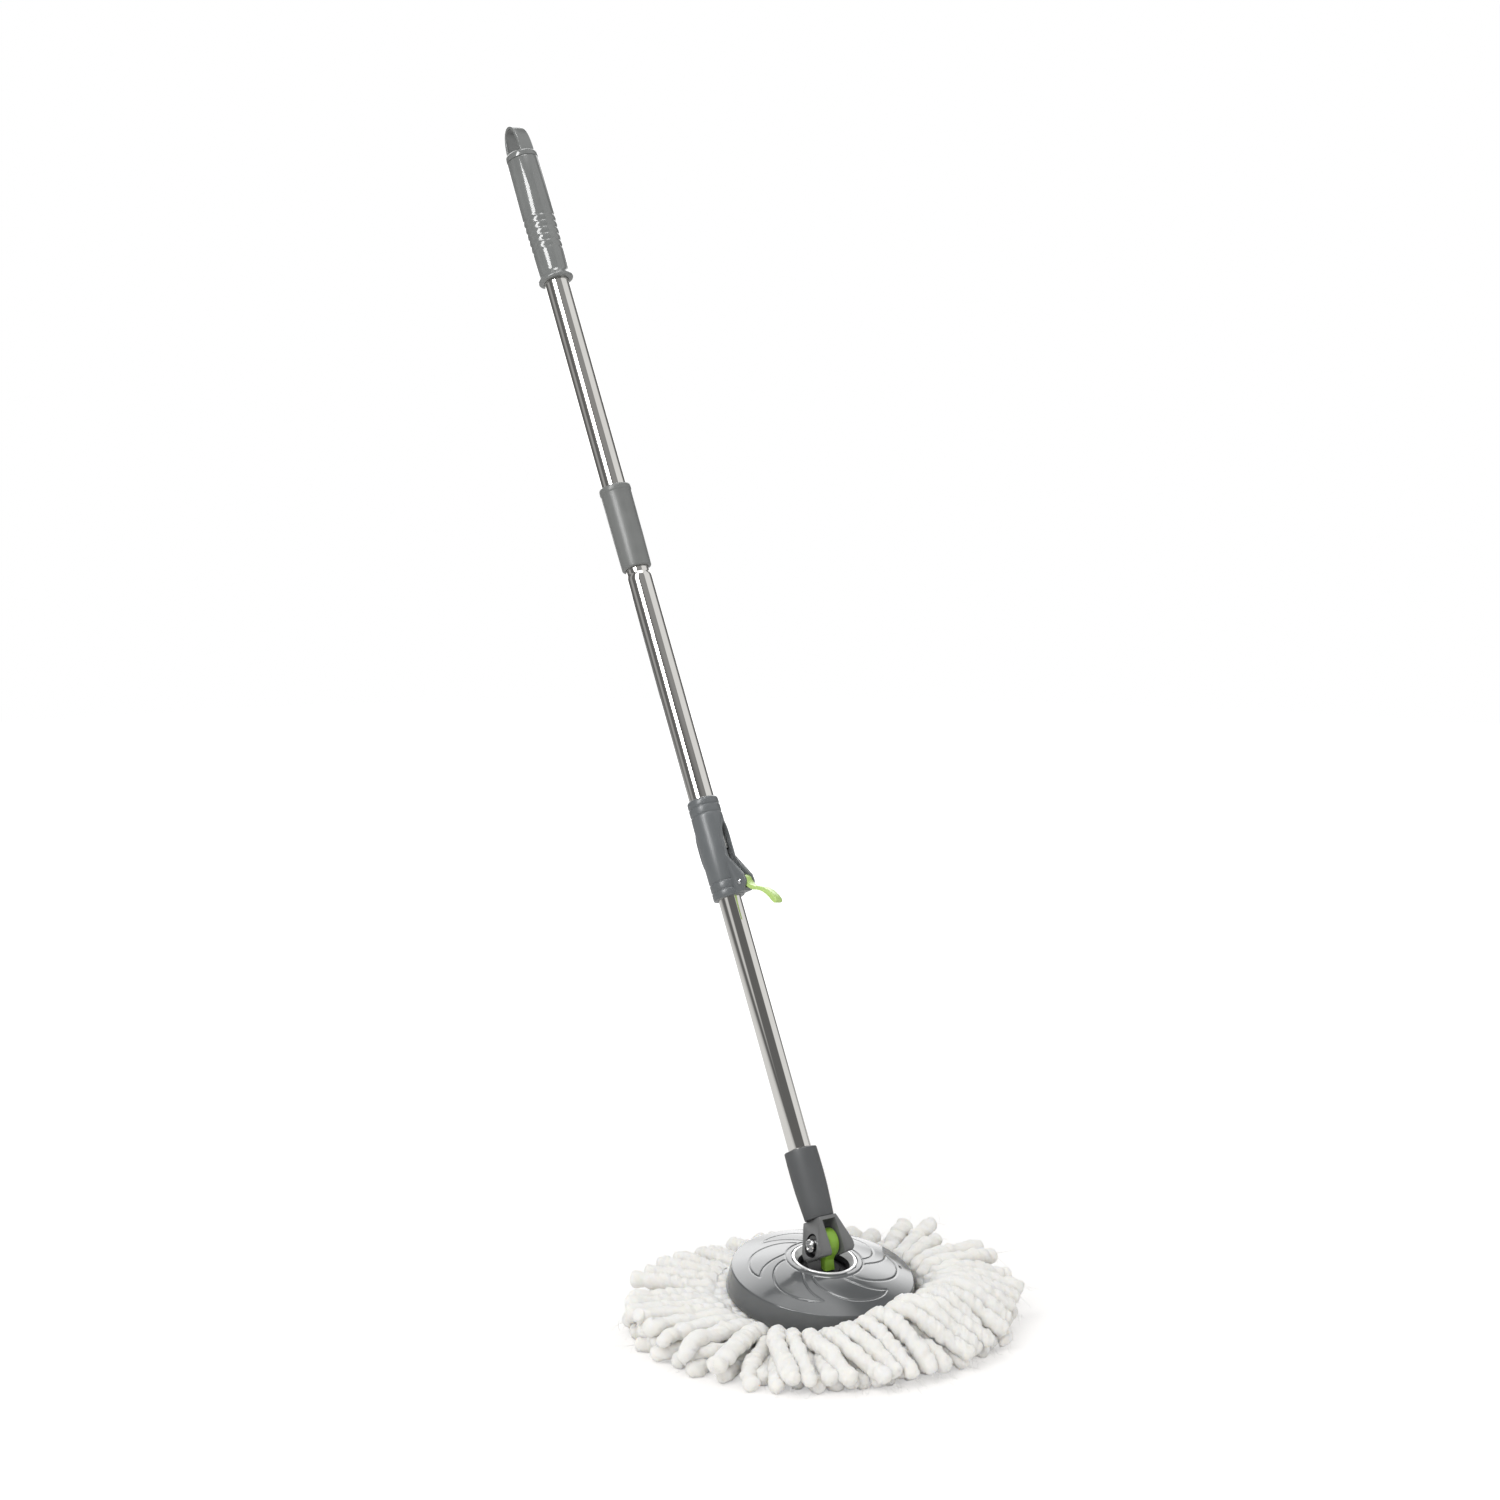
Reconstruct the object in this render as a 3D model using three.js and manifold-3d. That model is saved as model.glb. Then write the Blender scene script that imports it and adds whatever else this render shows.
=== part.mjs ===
// Spin mop with a press-to-spin telescopic handle, tilting head and round fibre refill.
// Millimetres, +Z up. The handle leans toward +Y; the pivot bolt runs along X.
import * as THREE from "three";
import { mergeVertices } from "three/addons/utils/BufferGeometryUtils.js";
import Module from "manifold-3d";

const wasm = await Module();
wasm.setup();
const rad = THREE.MathUtils.degToRad;

// ---------------------------------------------------------------- placement
const HANDLE_LEAN = 28.2;      // degrees from vertical, toward +Y
const DISC_TIP = 9.8;          // degrees that the disc tips toward -Y
const PIVOT_HEIGHT = 73.3;     // bolt axis above the floor
const PIVOT_Y = -171.69;       // bolt axis from the middle of the whole object's box

// ---------------------------------------------------------------- driving sizes
const GAP = 0.3;               // between pieces that touch
const WALL = 0.6;              // tube wall
const OUTER_R = 11;            // upper and middle tube
const INNER_R = 9.85;          // lower tube
const NECK_R = 10.15;          // crimped neck of the middle tube
const SLEEVE_WALL = 2.5;       // moulded sleeves round the tubes
const BOLT_R = 2.9;
const RIVET_R = 1.6;
const SCREW_R = 1.5;
const PIN_R = 1.6;

// Lengths along the handle, and the stations they give, measured from the bolt axis.
const YOKE_TOP = 20.7;
const SOCKET_LENGTH = 59.4;
const SOCKET_SEAT = 33;        // where the lower tube stands in its socket
const LOWER_TUBE_LENGTH = 358.7;
const TUBE_OVERLAP = 88;       // lower tube inside the lock and middle tube, handle pulled out
const LOCK_LENGTH = 89.8;
const LOCK_SKIRT = 42;         // lock body below the middle tube's end
const MIDDLE_TUBE_LENGTH = 258.7;
const NECK_LENGTH = 35;
const NECK_BARE = 5.5;         // neck left in sight below the coupling sleeve
const SLEEVE_LENGTH = 77.6;
const UPPER_TUBE_BARE = 202.9;
const GRIP_LENGTH = 121.4;
const LOWER_TUBE_TOP = SOCKET_SEAT + GAP + LOWER_TUBE_LENGTH;
const LOCK_BOTTOM = LOWER_TUBE_TOP - TUBE_OVERLAP;
const LOCK_TOP = LOCK_BOTTOM + LOCK_LENGTH;
const LOCK_SHOULDER = LOCK_BOTTOM + LOCK_SKIRT;
const NECK_START = LOCK_SHOULDER + GAP + MIDDLE_TUBE_LENGTH;
const NECK_END = NECK_START + NECK_LENGTH;
const SLEEVE_BOTTOM = NECK_START + NECK_BARE;
const SLEEVE_TOP = SLEEVE_BOTTOM + SLEEVE_LENGTH;
const GRIP_BOTTOM = SLEEVE_TOP + UPPER_TUBE_BARE;
const GRIP_TOP = GRIP_BOTTOM + GRIP_LENGTH;

// Twisted rod and its nut.
const TURN_LEAD = 100;         // travel per turn
const ROD_W = 7;
const ROD_T = 2.4;
const ROD_FOOT = LOWER_TUBE_TOP - 15;
const ROD_HEAD = NECK_START + 17;
const STOP_R = 6;

// Quick lock.
const LOCK_TURN = -66.8;       // degrees about the handle axis
const LEVER_X = 18.6;          // lever pin from the handle axis
const LEVER_Z = LOCK_BOTTOM + 8.8;
const SLOT_HALF = 5.2;
const EAR_WALL = 2;
const EAR_R = 6.8;
const CAM_R = 5.73;
const CAM_SHIFT = 0.27;
const BRAKE_PLAY = 0.7;        // brake pad from the lower tube, lever open

// Disc, measured from the bolt axis along the disc's own axis.
const DISC_R = 80;
const RIM_R = DISC_R - 3.6;      // where the dome turns down into the flared skirt
const RIM_Z = -27.1;
const SKIRT_Z = -46.9;
const DISC_WALL = 2.2;
const BEZEL_R = 27.4;
const BEZEL_Z = -14.3;
const WELL_R = 19.8;
const WELL_FLOOR = -24.5;
const TONGUE_R = 12;
const TONGUE_HALF = 4.75;
const TONGUE_NECK = 6.4;
const SPIGOT_R = 6;
const SPIGOT_END = -30;
const PLATE_TOP = -37;
const PLATE_WALL = 2.4;
const SPINDLE_R = 11;
const SCREW_CIRCLE = 38;
const SCREW_TURNS = [90, 210, 330];
const RING_R = DISC_R - 7.6;
const BOSS_R = RING_R - 16.4;

// Fibre refill.
const PAD_R = 160;
const PAD_TIP = 5;             // degrees, toward -Y as the disc
const PAD_CORE_R = BOSS_R - 6;
const PAD_HEIGHT = 36;
const PAD_EDGE = 5;

// Yoke.
const EAR_GAP = 6.35;          // half the space between the ears
const RECESS_R = 9.6;
const RECESS_X = 11;           // floor of each recess from the middle
const WASHER_R = 8;
const WASHER_T = 1.3;

// End cap.
const LOOP_R = 11.7;           // half the loop's width
const LOOP_HEIGHT = 29.3;      // loop's arch above the cap's shoulder
const STRAP = 2.6;
const STRAP_HALF = 6.8;

// ---------------------------------------------------------------- joining and cutting
function toSolid(geometry) {
  const open = geometry.index ? geometry.toNonIndexed() : geometry.clone();
  open.deleteAttribute("normal");
  open.deleteAttribute("uv");
  const merged = mergeVertices(open, 1e-4);
  const corner = [new THREE.Vector3(), new THREE.Vector3(), new THREE.Vector3()];
  const faces = [];
  let volume = 0;
  for (let i = 0; i < merged.index.count; i += 3) {
    const [a, b, c] = [0, 1, 2].map((k) => merged.index.getX(i + k));
    if (a === b || b === c || c === a) continue;
    faces.push([a, b, c]);
    [a, b, c].forEach((v, k) => corner[k].fromBufferAttribute(merged.attributes.position, v));
    volume += corner[0].dot(corner[1].cross(corner[2]));
  }
  const outward = volume < 0 ? faces.map(([a, b, c]) => [a, c, b]) : faces;
  return new wasm.Manifold(new wasm.Mesh({
    numProp: 3,
    vertProperties: new Float32Array(merged.attributes.position.array),
    triVerts: new Uint32Array(outward.flat()),
  }));
}

function fromSolid(solid) {
  const mesh = solid.getMesh();
  const g = new THREE.BufferGeometry();
  g.setAttribute("position", new THREE.BufferAttribute(new Float32Array(mesh.vertProperties), 3));
  g.setIndex(new THREE.BufferAttribute(new Uint32Array(mesh.triVerts), 1));
  return g;
}

const join = (first, ...rest) => fromSolid(rest.reduce((s, g) => s.add(toSolid(g)), toSolid(first)));
const cut = (first, ...rest) => fromSolid(rest.reduce((s, g) => s.subtract(toSolid(g)), toSolid(first)));
const common = (first, ...rest) => fromSolid(rest.reduce((s, g) => s.intersect(toSolid(g)), toSolid(first)));

// ---------------------------------------------------------------- shapes
// Turned body about Z. Points are [radius, z]; a profile that isn't on the axis closes on itself.
function turned(points, segments = 28) {
  const profile = points.map(([r, z]) => new THREE.Vector2(r, z));
  const onAxis = points[0][0] === 0 && points.at(-1)[0] === 0;
  if (!onAxis) profile.push(profile[0].clone());
  return new THREE.LatheGeometry(profile, segments).rotateX(Math.PI / 2);
}

const tube = (rOut, rIn, z0, z1, segments = 28) =>
  turned([[rIn, z0], [rOut, z0], [rOut, z1], [rIn, z1]], segments);

const rod = (r, z0, z1, segments = 20) => turned([[0, z0], [r, z0], [r, z1], [0, z1]], segments);

const box = (x0, x1, y0, y1, z0, z1) =>
  new THREE.BoxGeometry(x1 - x0, y1 - y0, z1 - z0)
    .translate((x0 + x1) / 2, (y0 + y1) / 2, (z0 + z1) / 2);

const alongX = (g) => g.clone().rotateY(Math.PI / 2);
const alongY = (g) => g.clone().rotateX(-Math.PI / 2);
const halfTurn = (g) => g.clone().rotateZ(Math.PI);

// Outline [u, z] made 2 * half thick: u is x for plateY (thick along Y) and y for plateX.
function plateY(outline, half) {
  const shape = new THREE.Shape(outline.map(([u, z]) => new THREE.Vector2(u, z)));
  const g = new THREE.ExtrudeGeometry(shape, { depth: 2 * half, bevelEnabled: false });
  return g.translate(0, 0, -half).rotateX(Math.PI / 2);
}

const plateX = (outline, half) => plateY(outline, half).rotateZ(Math.PI / 2);

function arc(cx, cz, r, from, to, count) {
  const points = [];
  for (let i = 0; i <= count; i++) {
    const a = rad(from + (to - from) * i / count);
    points.push([cx + r * Math.cos(a), cz + r * Math.sin(a)]);
  }
  return points;
}

const mirrored = (side) => [...side, ...side.map(([u, z]) => [-u, z]).reverse()];

// Flat bar along Z, twisted with the rod's lead; `spare` is added all round.
function twistedBar(spare, z0, z1, step) {
  const steps = Math.round((z1 - z0) / step);
  const g = new THREE.BoxGeometry(ROD_W + 2 * spare, ROD_T + 2 * spare, z1 - z0, 4, 1, steps);
  g.translate(0, 0, (z0 + z1) / 2);
  const p = g.attributes.position;
  for (let i = 0; i < p.count; i++) {
    const turn = 2 * Math.PI * p.getZ(i) / TURN_LEAD;
    const at = new THREE.Vector2(p.getX(i), p.getY(i)).rotateAround(new THREE.Vector2(), turn);
    p.setXY(i, at.x, at.y);
  }
  return g;
}

// ---------------------------------------------------------------- scene graph
const mop = new THREE.Group();
mop.name = "spin_mop";
const pivot = new THREE.Group();
pivot.position.set(0, PIVOT_Y, PIVOT_HEIGHT);
const disc = new THREE.Group();
disc.rotation.x = rad(DISC_TIP);
const handle = new THREE.Group();
handle.rotation.x = rad(-HANDLE_LEAN);
const lock = new THREE.Group();
lock.rotation.z = rad(LOCK_TURN);
mop.add(pivot);
pivot.add(disc, handle);
handle.add(lock);

const finishes = {
  handle: { color: 0x7c8081, roughness: 0.3, metalness: 0 },
  socket: { color: 0x54585a, roughness: 0.6, metalness: 0 },
  disc: { color: 0x6f7375, roughness: 0.22, metalness: 0 },
  dark: { color: 0x2b2d2f, roughness: 0.6, metalness: 0 },
  lime: { color: 0x9fd62a, roughness: 0.4, metalness: 0 },
  green: { color: 0x6fa32c, roughness: 0.45, metalness: 0 },
  white: { color: 0xe6e6e2, roughness: 0.5, metalness: 0 },
  rubber: { color: 0x1c1c1d, roughness: 0.85, metalness: 0 },
  steel: { color: 0xb9b7b2, roughness: 0.25, metalness: 1 },
  chrome: { color: 0xe2e4e6, roughness: 0.06, metalness: 1 },
  zinc: { color: 0x9b9d9f, roughness: 0.35, metalness: 1 },
  fibre: { color: 0xf1efe9, roughness: 0.95, metalness: 0 },
};

function place(parent, name, finish, geometry) {
  const g = fromSolid(toSolid(geometry));
  g.computeVertexNormals();
  const mesh = new THREE.Mesh(g, new THREE.MeshStandardMaterial(finishes[finish]));
  mesh.name = name;
  parent.add(mesh);
}

const aroundScrews = (g) => SCREW_TURNS.map((turn) =>
  g.clone().translate(SCREW_CIRCLE, 0, 0).rotateZ(rad(turn)));

// ---------------------------------------------------------------- disc cover and bezel
// Height of the dome's outside at a radius: a shallow arch from the bezel to the rim.
const SEAT_R = BEZEL_R + 1;
const SEAT_Z = BEZEL_Z - 0.6;
function domeZ(r) {
  const t = (r - SEAT_R) / (RIM_R - SEAT_R);
  return SEAT_Z + (RIM_Z - SEAT_Z) * t ** 1.32;
}

function discCover() {
  const outside = [0, 0.2, 0.4, 0.6, 0.8, 0.93].map((t) => {
    const r = SEAT_R + (RIM_R - SEAT_R) * t;
    return [r, domeZ(r)];
  });
  const inside = [0.93, 0.65, 0.35, 0.08].map((t) => {
    const r = SEAT_R + (RIM_R - DISC_WALL - SEAT_R) * t;
    return [r, domeZ(r) - DISC_WALL];
  });
  const shell = turned([
    ...outside, [RIM_R, RIM_Z], [RIM_R + 0.8, RIM_Z - 1.5], [DISC_R, SKIRT_Z + 1],
    [DISC_R - 0.5, SKIRT_Z], [DISC_R - 0.5 - DISC_WALL, SKIRT_Z], [RIM_R - 1, RIM_Z - 3], ...inside,
    [WELL_R + 3.8, WELL_FLOOR - 0.7], [WELL_R + 1.8, WELL_FLOOR - 0.7], [BEZEL_R, SEAT_Z - 1.3],
    [SEAT_R, SEAT_Z - 1.3],
  ], 48);
  const post = cut(
    rod(SCREW_R + 2.5, PLATE_TOP + GAP + 0.1, domeZ(SCREW_CIRCLE) - DISC_WALL / 2, 16),
    rod(SCREW_R + GAP, PLATE_TOP - 1, domeZ(SCREW_CIRCLE) - DISC_WALL - 5, 12),
  );
  return join(shell, ...aroundScrews(post));
}

place(disc, "disc_cover", "disc", discCover());

place(disc, "chrome_bezel", "chrome", turned([
  [BEZEL_R, SEAT_Z - 0.7], [BEZEL_R, BEZEL_Z - 0.4], [BEZEL_R - 1, BEZEL_Z],
  [BEZEL_R - 2.4, BEZEL_Z - 0.3], [WELL_R, WELL_FLOOR + 1.9], [WELL_R, WELL_FLOOR + GAP],
  [WELL_R + 0.9, WELL_FLOOR + GAP], [BEZEL_R - 1.4, SEAT_Z - 0.8],
], 40));

// ---------------------------------------------------------------- hub and tongue
const HUB_WALL = 2.4;
place(disc, "hub_cup", "dark", turned([
  [SPIGOT_R + GAP, WELL_FLOOR - HUB_WALL], [WELL_R + 6, WELL_FLOOR - HUB_WALL],
  [WELL_R + 6, WELL_FLOOR - 1.1], [WELL_R + 0.1, WELL_FLOOR - 1.1], [WELL_R + 0.1, WELL_FLOOR],
  [SPIGOT_R + GAP, WELL_FLOOR],
], 32));

// Round base on the hub's floor with a spigot through it, and a tongue with a round head on the bolt.
// The hub screw runs up through the spigot into the tongue and draws both onto the hub.
const BASE_TOP = WELL_FLOOR + 2.6;
const hubScrewHole = rod(SCREW_R + 0.7 + GAP, SPIGOT_END - 1, -17, 16);
place(disc, "swivel_base", "dark", cut(
  turned([[0, SPIGOT_END], [SPIGOT_R, SPIGOT_END], [SPIGOT_R, WELL_FLOOR + GAP],
    [TONGUE_R + 2, WELL_FLOOR + GAP], [TONGUE_R + 2, BASE_TOP - 0.8], [TONGUE_R + 1.2, BASE_TOP],
    [0, BASE_TOP]]),
  hubScrewHole,
));

function swivelTongue() {
  const side = [
    ...arc(0, 0, TONGUE_R, 225, -45, 20), [TONGUE_NECK + 0.6, -12.4], [TONGUE_NECK, -14.6],
    [TONGUE_NECK, BASE_TOP + GAP], [-TONGUE_NECK, BASE_TOP + GAP], [-TONGUE_NECK, -14.6],
    [-TONGUE_NECK - 0.6, -12.4],
  ];
  return cut(
    plateX(side, TONGUE_HALF),
    alongX(rod(BOLT_R + GAP, -TONGUE_HALF - 3, TONGUE_HALF + 3)),
    hubScrewHole,
  );
}

place(disc, "swivel_tongue", "green", swivelTongue());

const HUB_WASHER_T = 1.5;
const hubWasherFoot = SPIGOT_END - GAP - HUB_WASHER_T;
place(disc, "hub_washer", "zinc", tube(9, SPIGOT_R / 2, hubWasherFoot, SPIGOT_END - GAP, 24));
place(disc, "hub_screw", "zinc", turned([
  [0, hubWasherFoot - 3.7], [4.2, hubWasherFoot - 3.7], [5, hubWasherFoot - 2.8],
  [5, hubWasherFoot - GAP], [SCREW_R + 0.7, hubWasherFoot - GAP], [SCREW_R + 0.7, -18], [0, -18],
], 24));

// ---------------------------------------------------------------- underside and refill
// Plate with the boss that takes the refill ring, and the socket for a basket spindle.
const PLATE_UNDER = PLATE_TOP - PLATE_WALL;
const BOSS_END = SKIRT_Z + 0.7;
function basePlate() {
  const plate = turned([
    [0, PLATE_TOP], [RING_R, PLATE_TOP], [RING_R + 0.6, PLATE_TOP - 0.8],
    [RING_R + 0.6, PLATE_UNDER], [BOSS_R, PLATE_UNDER], [BOSS_R, BOSS_END],
    [BOSS_R - PLATE_WALL, BOSS_END], [BOSS_R - PLATE_WALL, PLATE_UNDER],
    [SPINDLE_R + PLATE_WALL, PLATE_UNDER], [SPINDLE_R + PLATE_WALL, BOSS_END],
    [SPINDLE_R, BOSS_END], [SPINDLE_R, PLATE_UNDER], [0, PLATE_UNDER],
  ], 40);
  return cut(plate, ...aroundScrews(rod(SCREW_R + GAP + 0.1, PLATE_UNDER - 5, PLATE_TOP + 5, 12)));
}

place(disc, "base_plate", "socket", basePlate());

const coverScrew = turned([
  [0, PLATE_UNDER - 2.4], [2.6, PLATE_UNDER - 2.4], [3.4, PLATE_UNDER - 1.6],
  [3.4, PLATE_UNDER - GAP], [SCREW_R, PLATE_UNDER - GAP], [SCREW_R, PLATE_TOP + 12],
  [0, PLATE_TOP + 12],
], 16);
aroundScrews(coverScrew).forEach((screw, i) => place(disc, `cover_screw_${i + 1}`, "zinc", screw));

const RING_TOP = PLATE_UNDER - 1;
const RING_FOOT = SKIRT_Z + 0.5;
place(disc, "refill_ring", "white", turned([
  [BOSS_R + GAP + 0.1, RING_FOOT], [RING_R - 0.8, RING_FOOT], [RING_R, RING_FOOT + 0.8],
  [RING_R, RING_TOP - 0.8], [RING_R - 0.8, RING_TOP], [BOSS_R + GAP + 0.1, RING_TOP],
], 40));

// The strands as one pad: flat on the floor, the top tipped with the disc, open in the middle.
function fibrePad() {
  const reach = PAD_R * 1.2;
  const crown = [[0.075, 0.29], [0.19, 0.53], [0.375, 0.76], [0.6, 0.935], [0.81, 1], [0.975, 0.9]];
  const slope = crown.map(([inward, rise]) => [
    PAD_R - (PAD_R - DISC_R) * inward,
    PAD_EDGE + (PAD_HEIGHT - PAD_EDGE) * rise,
  ]);
  const heap = turned([
    [0, -PAD_HEIGHT], [PAD_R, -PAD_HEIGHT], [PAD_R, PAD_EDGE], ...slope, [0, slope.at(-1)[1]],
  ], 48).rotateX(rad(PAD_TIP));
  const room = join(
    rod(DISC_R + 0.8, SKIRT_Z - GAP, PAD_HEIGHT, 48),
    rod(PAD_CORE_R, -PIVOT_HEIGHT * 1.6, 0, 36),
  ).rotateX(rad(DISC_TIP)).translate(0, 0, PIVOT_HEIGHT);
  return cut(common(heap, box(-reach, reach, -reach, reach, 0, 2 * PAD_HEIGHT)), room);
}

place(mop, "fibre_pad", "fibre", fibrePad().translate(0, PIVOT_Y, 0));

// ---------------------------------------------------------------- yoke and its bolt
const YOKE_SPIGOT_R = 7;
function yoke() {
  const foot = 1.4 - RECESS_R - 3.8;
  const front = mirrored([
    [8.2, YOKE_TOP + 0.1], [8.6, YOKE_TOP], [16.8, -3], [17.2, -5.5], [17, foot + 3],
    [15.4, foot + 0.4], [14, foot],
  ]);
  const side = mirrored([
    [12.2, YOKE_TOP + 3.3], [13.2, YOKE_TOP - 2.7], [14.4, 0], [14.5, foot + 3.4],
    [13.6, foot + 1], [11.6, foot - 0.5],
  ]);
  const recess = alongX(rod(RECESS_R, RECESS_X, 24, 28));
  return cut(
    join(
      common(plateY(front, 16), plateX(side, 20)),
      rod(YOKE_SPIGOT_R, YOKE_TOP - 2, SOCKET_SEAT - 1.5),
    ),
    box(-EAR_GAP, EAR_GAP, -20, 20, foot - 2, YOKE_TOP - 3.1),
    recess,
    halfTurn(recess),
    alongX(rod(BOLT_R + GAP, -24, 24)),
  );
}

place(handle, "yoke", "socket", yoke());

const pivotWasher = alongX(tube(WASHER_R, BOLT_R + GAP, TONGUE_HALF + GAP, EAR_GAP - GAP, 24));
place(handle, "pivot_washer_left", "white", halfTurn(pivotWasher));
place(handle, "pivot_washer_right", "white", pivotWasher);

// Socket-head bolt: head and washer in the -X recess, lock nut in the +X recess.
const HEAD_R = 5.5;
const HEAD_H = 5;
const headSeat = RECESS_X + WASHER_T + 2 * GAP;
const bolt = cut(
  turned([
    [0, -headSeat - HEAD_H], [HEAD_R - 0.8, -headSeat - HEAD_H], [HEAD_R, -headSeat - HEAD_H + 0.8],
    [HEAD_R, -headSeat], [BOLT_R, -headSeat], [BOLT_R, 18], [BOLT_R - 0.5, 18.5], [0, 18.5],
  ], 20),
  new THREE.CylinderGeometry(2.6, 2.6, 3, 6).rotateX(Math.PI / 2).translate(0, 0, 0.6 - headSeat - HEAD_H),
);
place(handle, "pivot_bolt", "chrome", alongX(bolt));

const headWasher = alongX(tube(WASHER_R, BOLT_R + GAP, RECESS_X + GAP, RECESS_X + GAP + WASHER_T, 24));
place(handle, "bolt_washer", "zinc", halfTurn(headWasher));

const NUT_H = 5;
const nut = cut(
  new THREE.CylinderGeometry(2 * BOLT_R, 2 * BOLT_R, NUT_H, 6).rotateX(Math.PI / 2)
    .translate(0, 0, RECESS_X + GAP + NUT_H / 2),
  rod(BOLT_R + GAP, 0, 24),
);
place(handle, "pivot_nut", "zinc", alongX(nut));

// ---------------------------------------------------------------- lower tube and its socket
const SOCKET_FOOT = YOKE_TOP + GAP;
const SOCKET_TOP = SOCKET_FOOT + SOCKET_LENGTH;
const RIVET_Z = (SOCKET_SEAT + SOCKET_TOP) / 2;
const socketR = INNER_R + 4.5;
const rivetHole = alongX(rod(RIVET_R + GAP, -20, 20, 16)).translate(0, 0, RIVET_Z);
place(handle, "tube_socket", "socket", cut(turned([
  [YOKE_SPIGOT_R + GAP, SOCKET_FOOT], [socketR - 2.15, SOCKET_FOOT],
  [socketR - 1.75, SOCKET_FOOT + 0.6], [socketR - 0.95, SOCKET_SEAT + 1],
  [socketR - 0.25, SOCKET_SEAT + 13], [socketR, SOCKET_SEAT + 25],
  [socketR - 0.25, SOCKET_TOP - 1], [socketR - 0.95, SOCKET_TOP], [INNER_R + GAP, SOCKET_TOP],
  [INNER_R + GAP, SOCKET_SEAT], [YOKE_SPIGOT_R + GAP, SOCKET_SEAT],
]), rivetHole));
place(handle, "socket_rivet", "zinc",
  alongX(rod(RIVET_R, 1.3 - socketR, socketR - 1.3, 16)).translate(0, 0, RIVET_Z));
place(handle, "lower_tube", "steel",
  cut(tube(INNER_R, INNER_R - WALL, SOCKET_SEAT + GAP, LOWER_TUBE_TOP), rivetHole));

// ---------------------------------------------------------------- drive on the lower tube
const CUP_R = INNER_R - WALL - GAP;
const CUP_SEAT = LOWER_TUBE_TOP + 0.5;
const BUSH_HEIGHT = 7.9;
const CUP_LIP = CUP_SEAT + GAP + BUSH_HEIGHT + GAP;
const NUT_R = 6.7;
const CUP_BORE = NUT_R + GAP;
place(handle, "clutch_cup", "dark", turned([
  [CUP_BORE, LOWER_TUBE_TOP - 20], [CUP_R, LOWER_TUBE_TOP - 20], [CUP_R, CUP_SEAT],
  [CUP_R - 0.75, CUP_SEAT], [CUP_R - 0.75, CUP_LIP], [INNER_R - 0.25, CUP_LIP],
  [INNER_R - 0.25, CUP_LIP + 2], [NUT_R - 1.7, CUP_LIP + 2], [NUT_R - 1.7, CUP_LIP - 1],
  [CUP_BORE, CUP_LIP - 1],
]));
const nutTop = CUP_LIP - 1 - GAP;
const NUT_LENGTH = 11.7;
const nutFoot = nutTop - NUT_LENGTH;
place(handle, "drive_nut", "white",
  cut(rod(NUT_R, nutFoot, nutTop), twistedBar(GAP, nutFoot - 8, nutTop + 4.3, 4)));
place(handle, "nut_retainer", "zinc", tube(NUT_R, NUT_R - 1.7, nutFoot - 2.4, nutFoot - GAP, 20));
place(handle, "guide_bush", "white",
  tube(OUTER_R - WALL - GAP, CUP_R - 0.75 + GAP, CUP_SEAT + GAP, CUP_SEAT + GAP + BUSH_HEIGHT));

// ---------------------------------------------------------------- twisted rod
place(handle, "twisted_rod", "zinc", twistedBar(0, ROD_FOOT, ROD_HEAD, 5));
place(handle, "rod_stop", "dark",
  cut(rod(STOP_R, ROD_FOOT + 0.5, ROD_FOOT + 6.5), twistedBar(GAP, ROD_FOOT - 7, ROD_FOOT + 13, 4)));
const ANCHOR_FOOT = NECK_START + 2;
place(handle, "rod_anchor", "dark", cut(
  rod(NECK_R - WALL - GAP, ANCHOR_FOOT, ROD_HEAD + 8, 24),
  twistedBar(GAP, ANCHOR_FOOT - 7, ROD_HEAD + 0.6, 4),
));

// ---------------------------------------------------------------- tubes, coupling, grip
place(handle, "middle_tube", "steel", turned([
  [OUTER_R - WALL, LOCK_SHOULDER + GAP], [OUTER_R, LOCK_SHOULDER + GAP], [OUTER_R, NECK_START - 4],
  [OUTER_R - 0.25, NECK_START - 1.4], [NECK_R, NECK_START], [NECK_R, NECK_END],
  [NECK_R - WALL, NECK_END], [NECK_R - WALL, NECK_START - 0.3],
  [OUTER_R - WALL - 0.25, NECK_START - 2], [OUTER_R - WALL, NECK_START - 4.4],
]));

const SLEEVE_R = OUTER_R + GAP + SLEEVE_WALL;
const WEB_TOP = NECK_END + 8;
const STUD_R = 6;
place(handle, "coupling_sleeve", "handle", turned([
  [NECK_R + GAP, SLEEVE_BOTTOM], [SLEEVE_R - 1.2, SLEEVE_BOTTOM],
  [SLEEVE_R - 0.6, SLEEVE_BOTTOM + 0.8], [SLEEVE_R - 0.2, NECK_END], [SLEEVE_R - 0.05, SLEEVE_TOP - 16],
  [SLEEVE_R - 0.05, SLEEVE_TOP - 5.7], [SLEEVE_R + 0.4, SLEEVE_TOP - 4.7],
  [SLEEVE_R + 0.5, SLEEVE_TOP - 1.4], [SLEEVE_R, SLEEVE_TOP], [OUTER_R + GAP, SLEEVE_TOP],
  [OUTER_R + GAP, WEB_TOP], [STUD_R + GAP, WEB_TOP], [STUD_R + GAP, NECK_END + 1],
  [NECK_R + GAP, NECK_END + 1],
]));
const PLUG_R = OUTER_R - WALL - GAP;
place(handle, "joint_plug", "dark", turned([
  [0, ROD_HEAD + 11], [STUD_R - 1, ROD_HEAD + 11], [STUD_R, ROD_HEAD + 12], [STUD_R, WEB_TOP + 2],
  [PLUG_R, WEB_TOP + 2], [PLUG_R, WEB_TOP + 28], [0, WEB_TOP + 28],
], 24));
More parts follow.
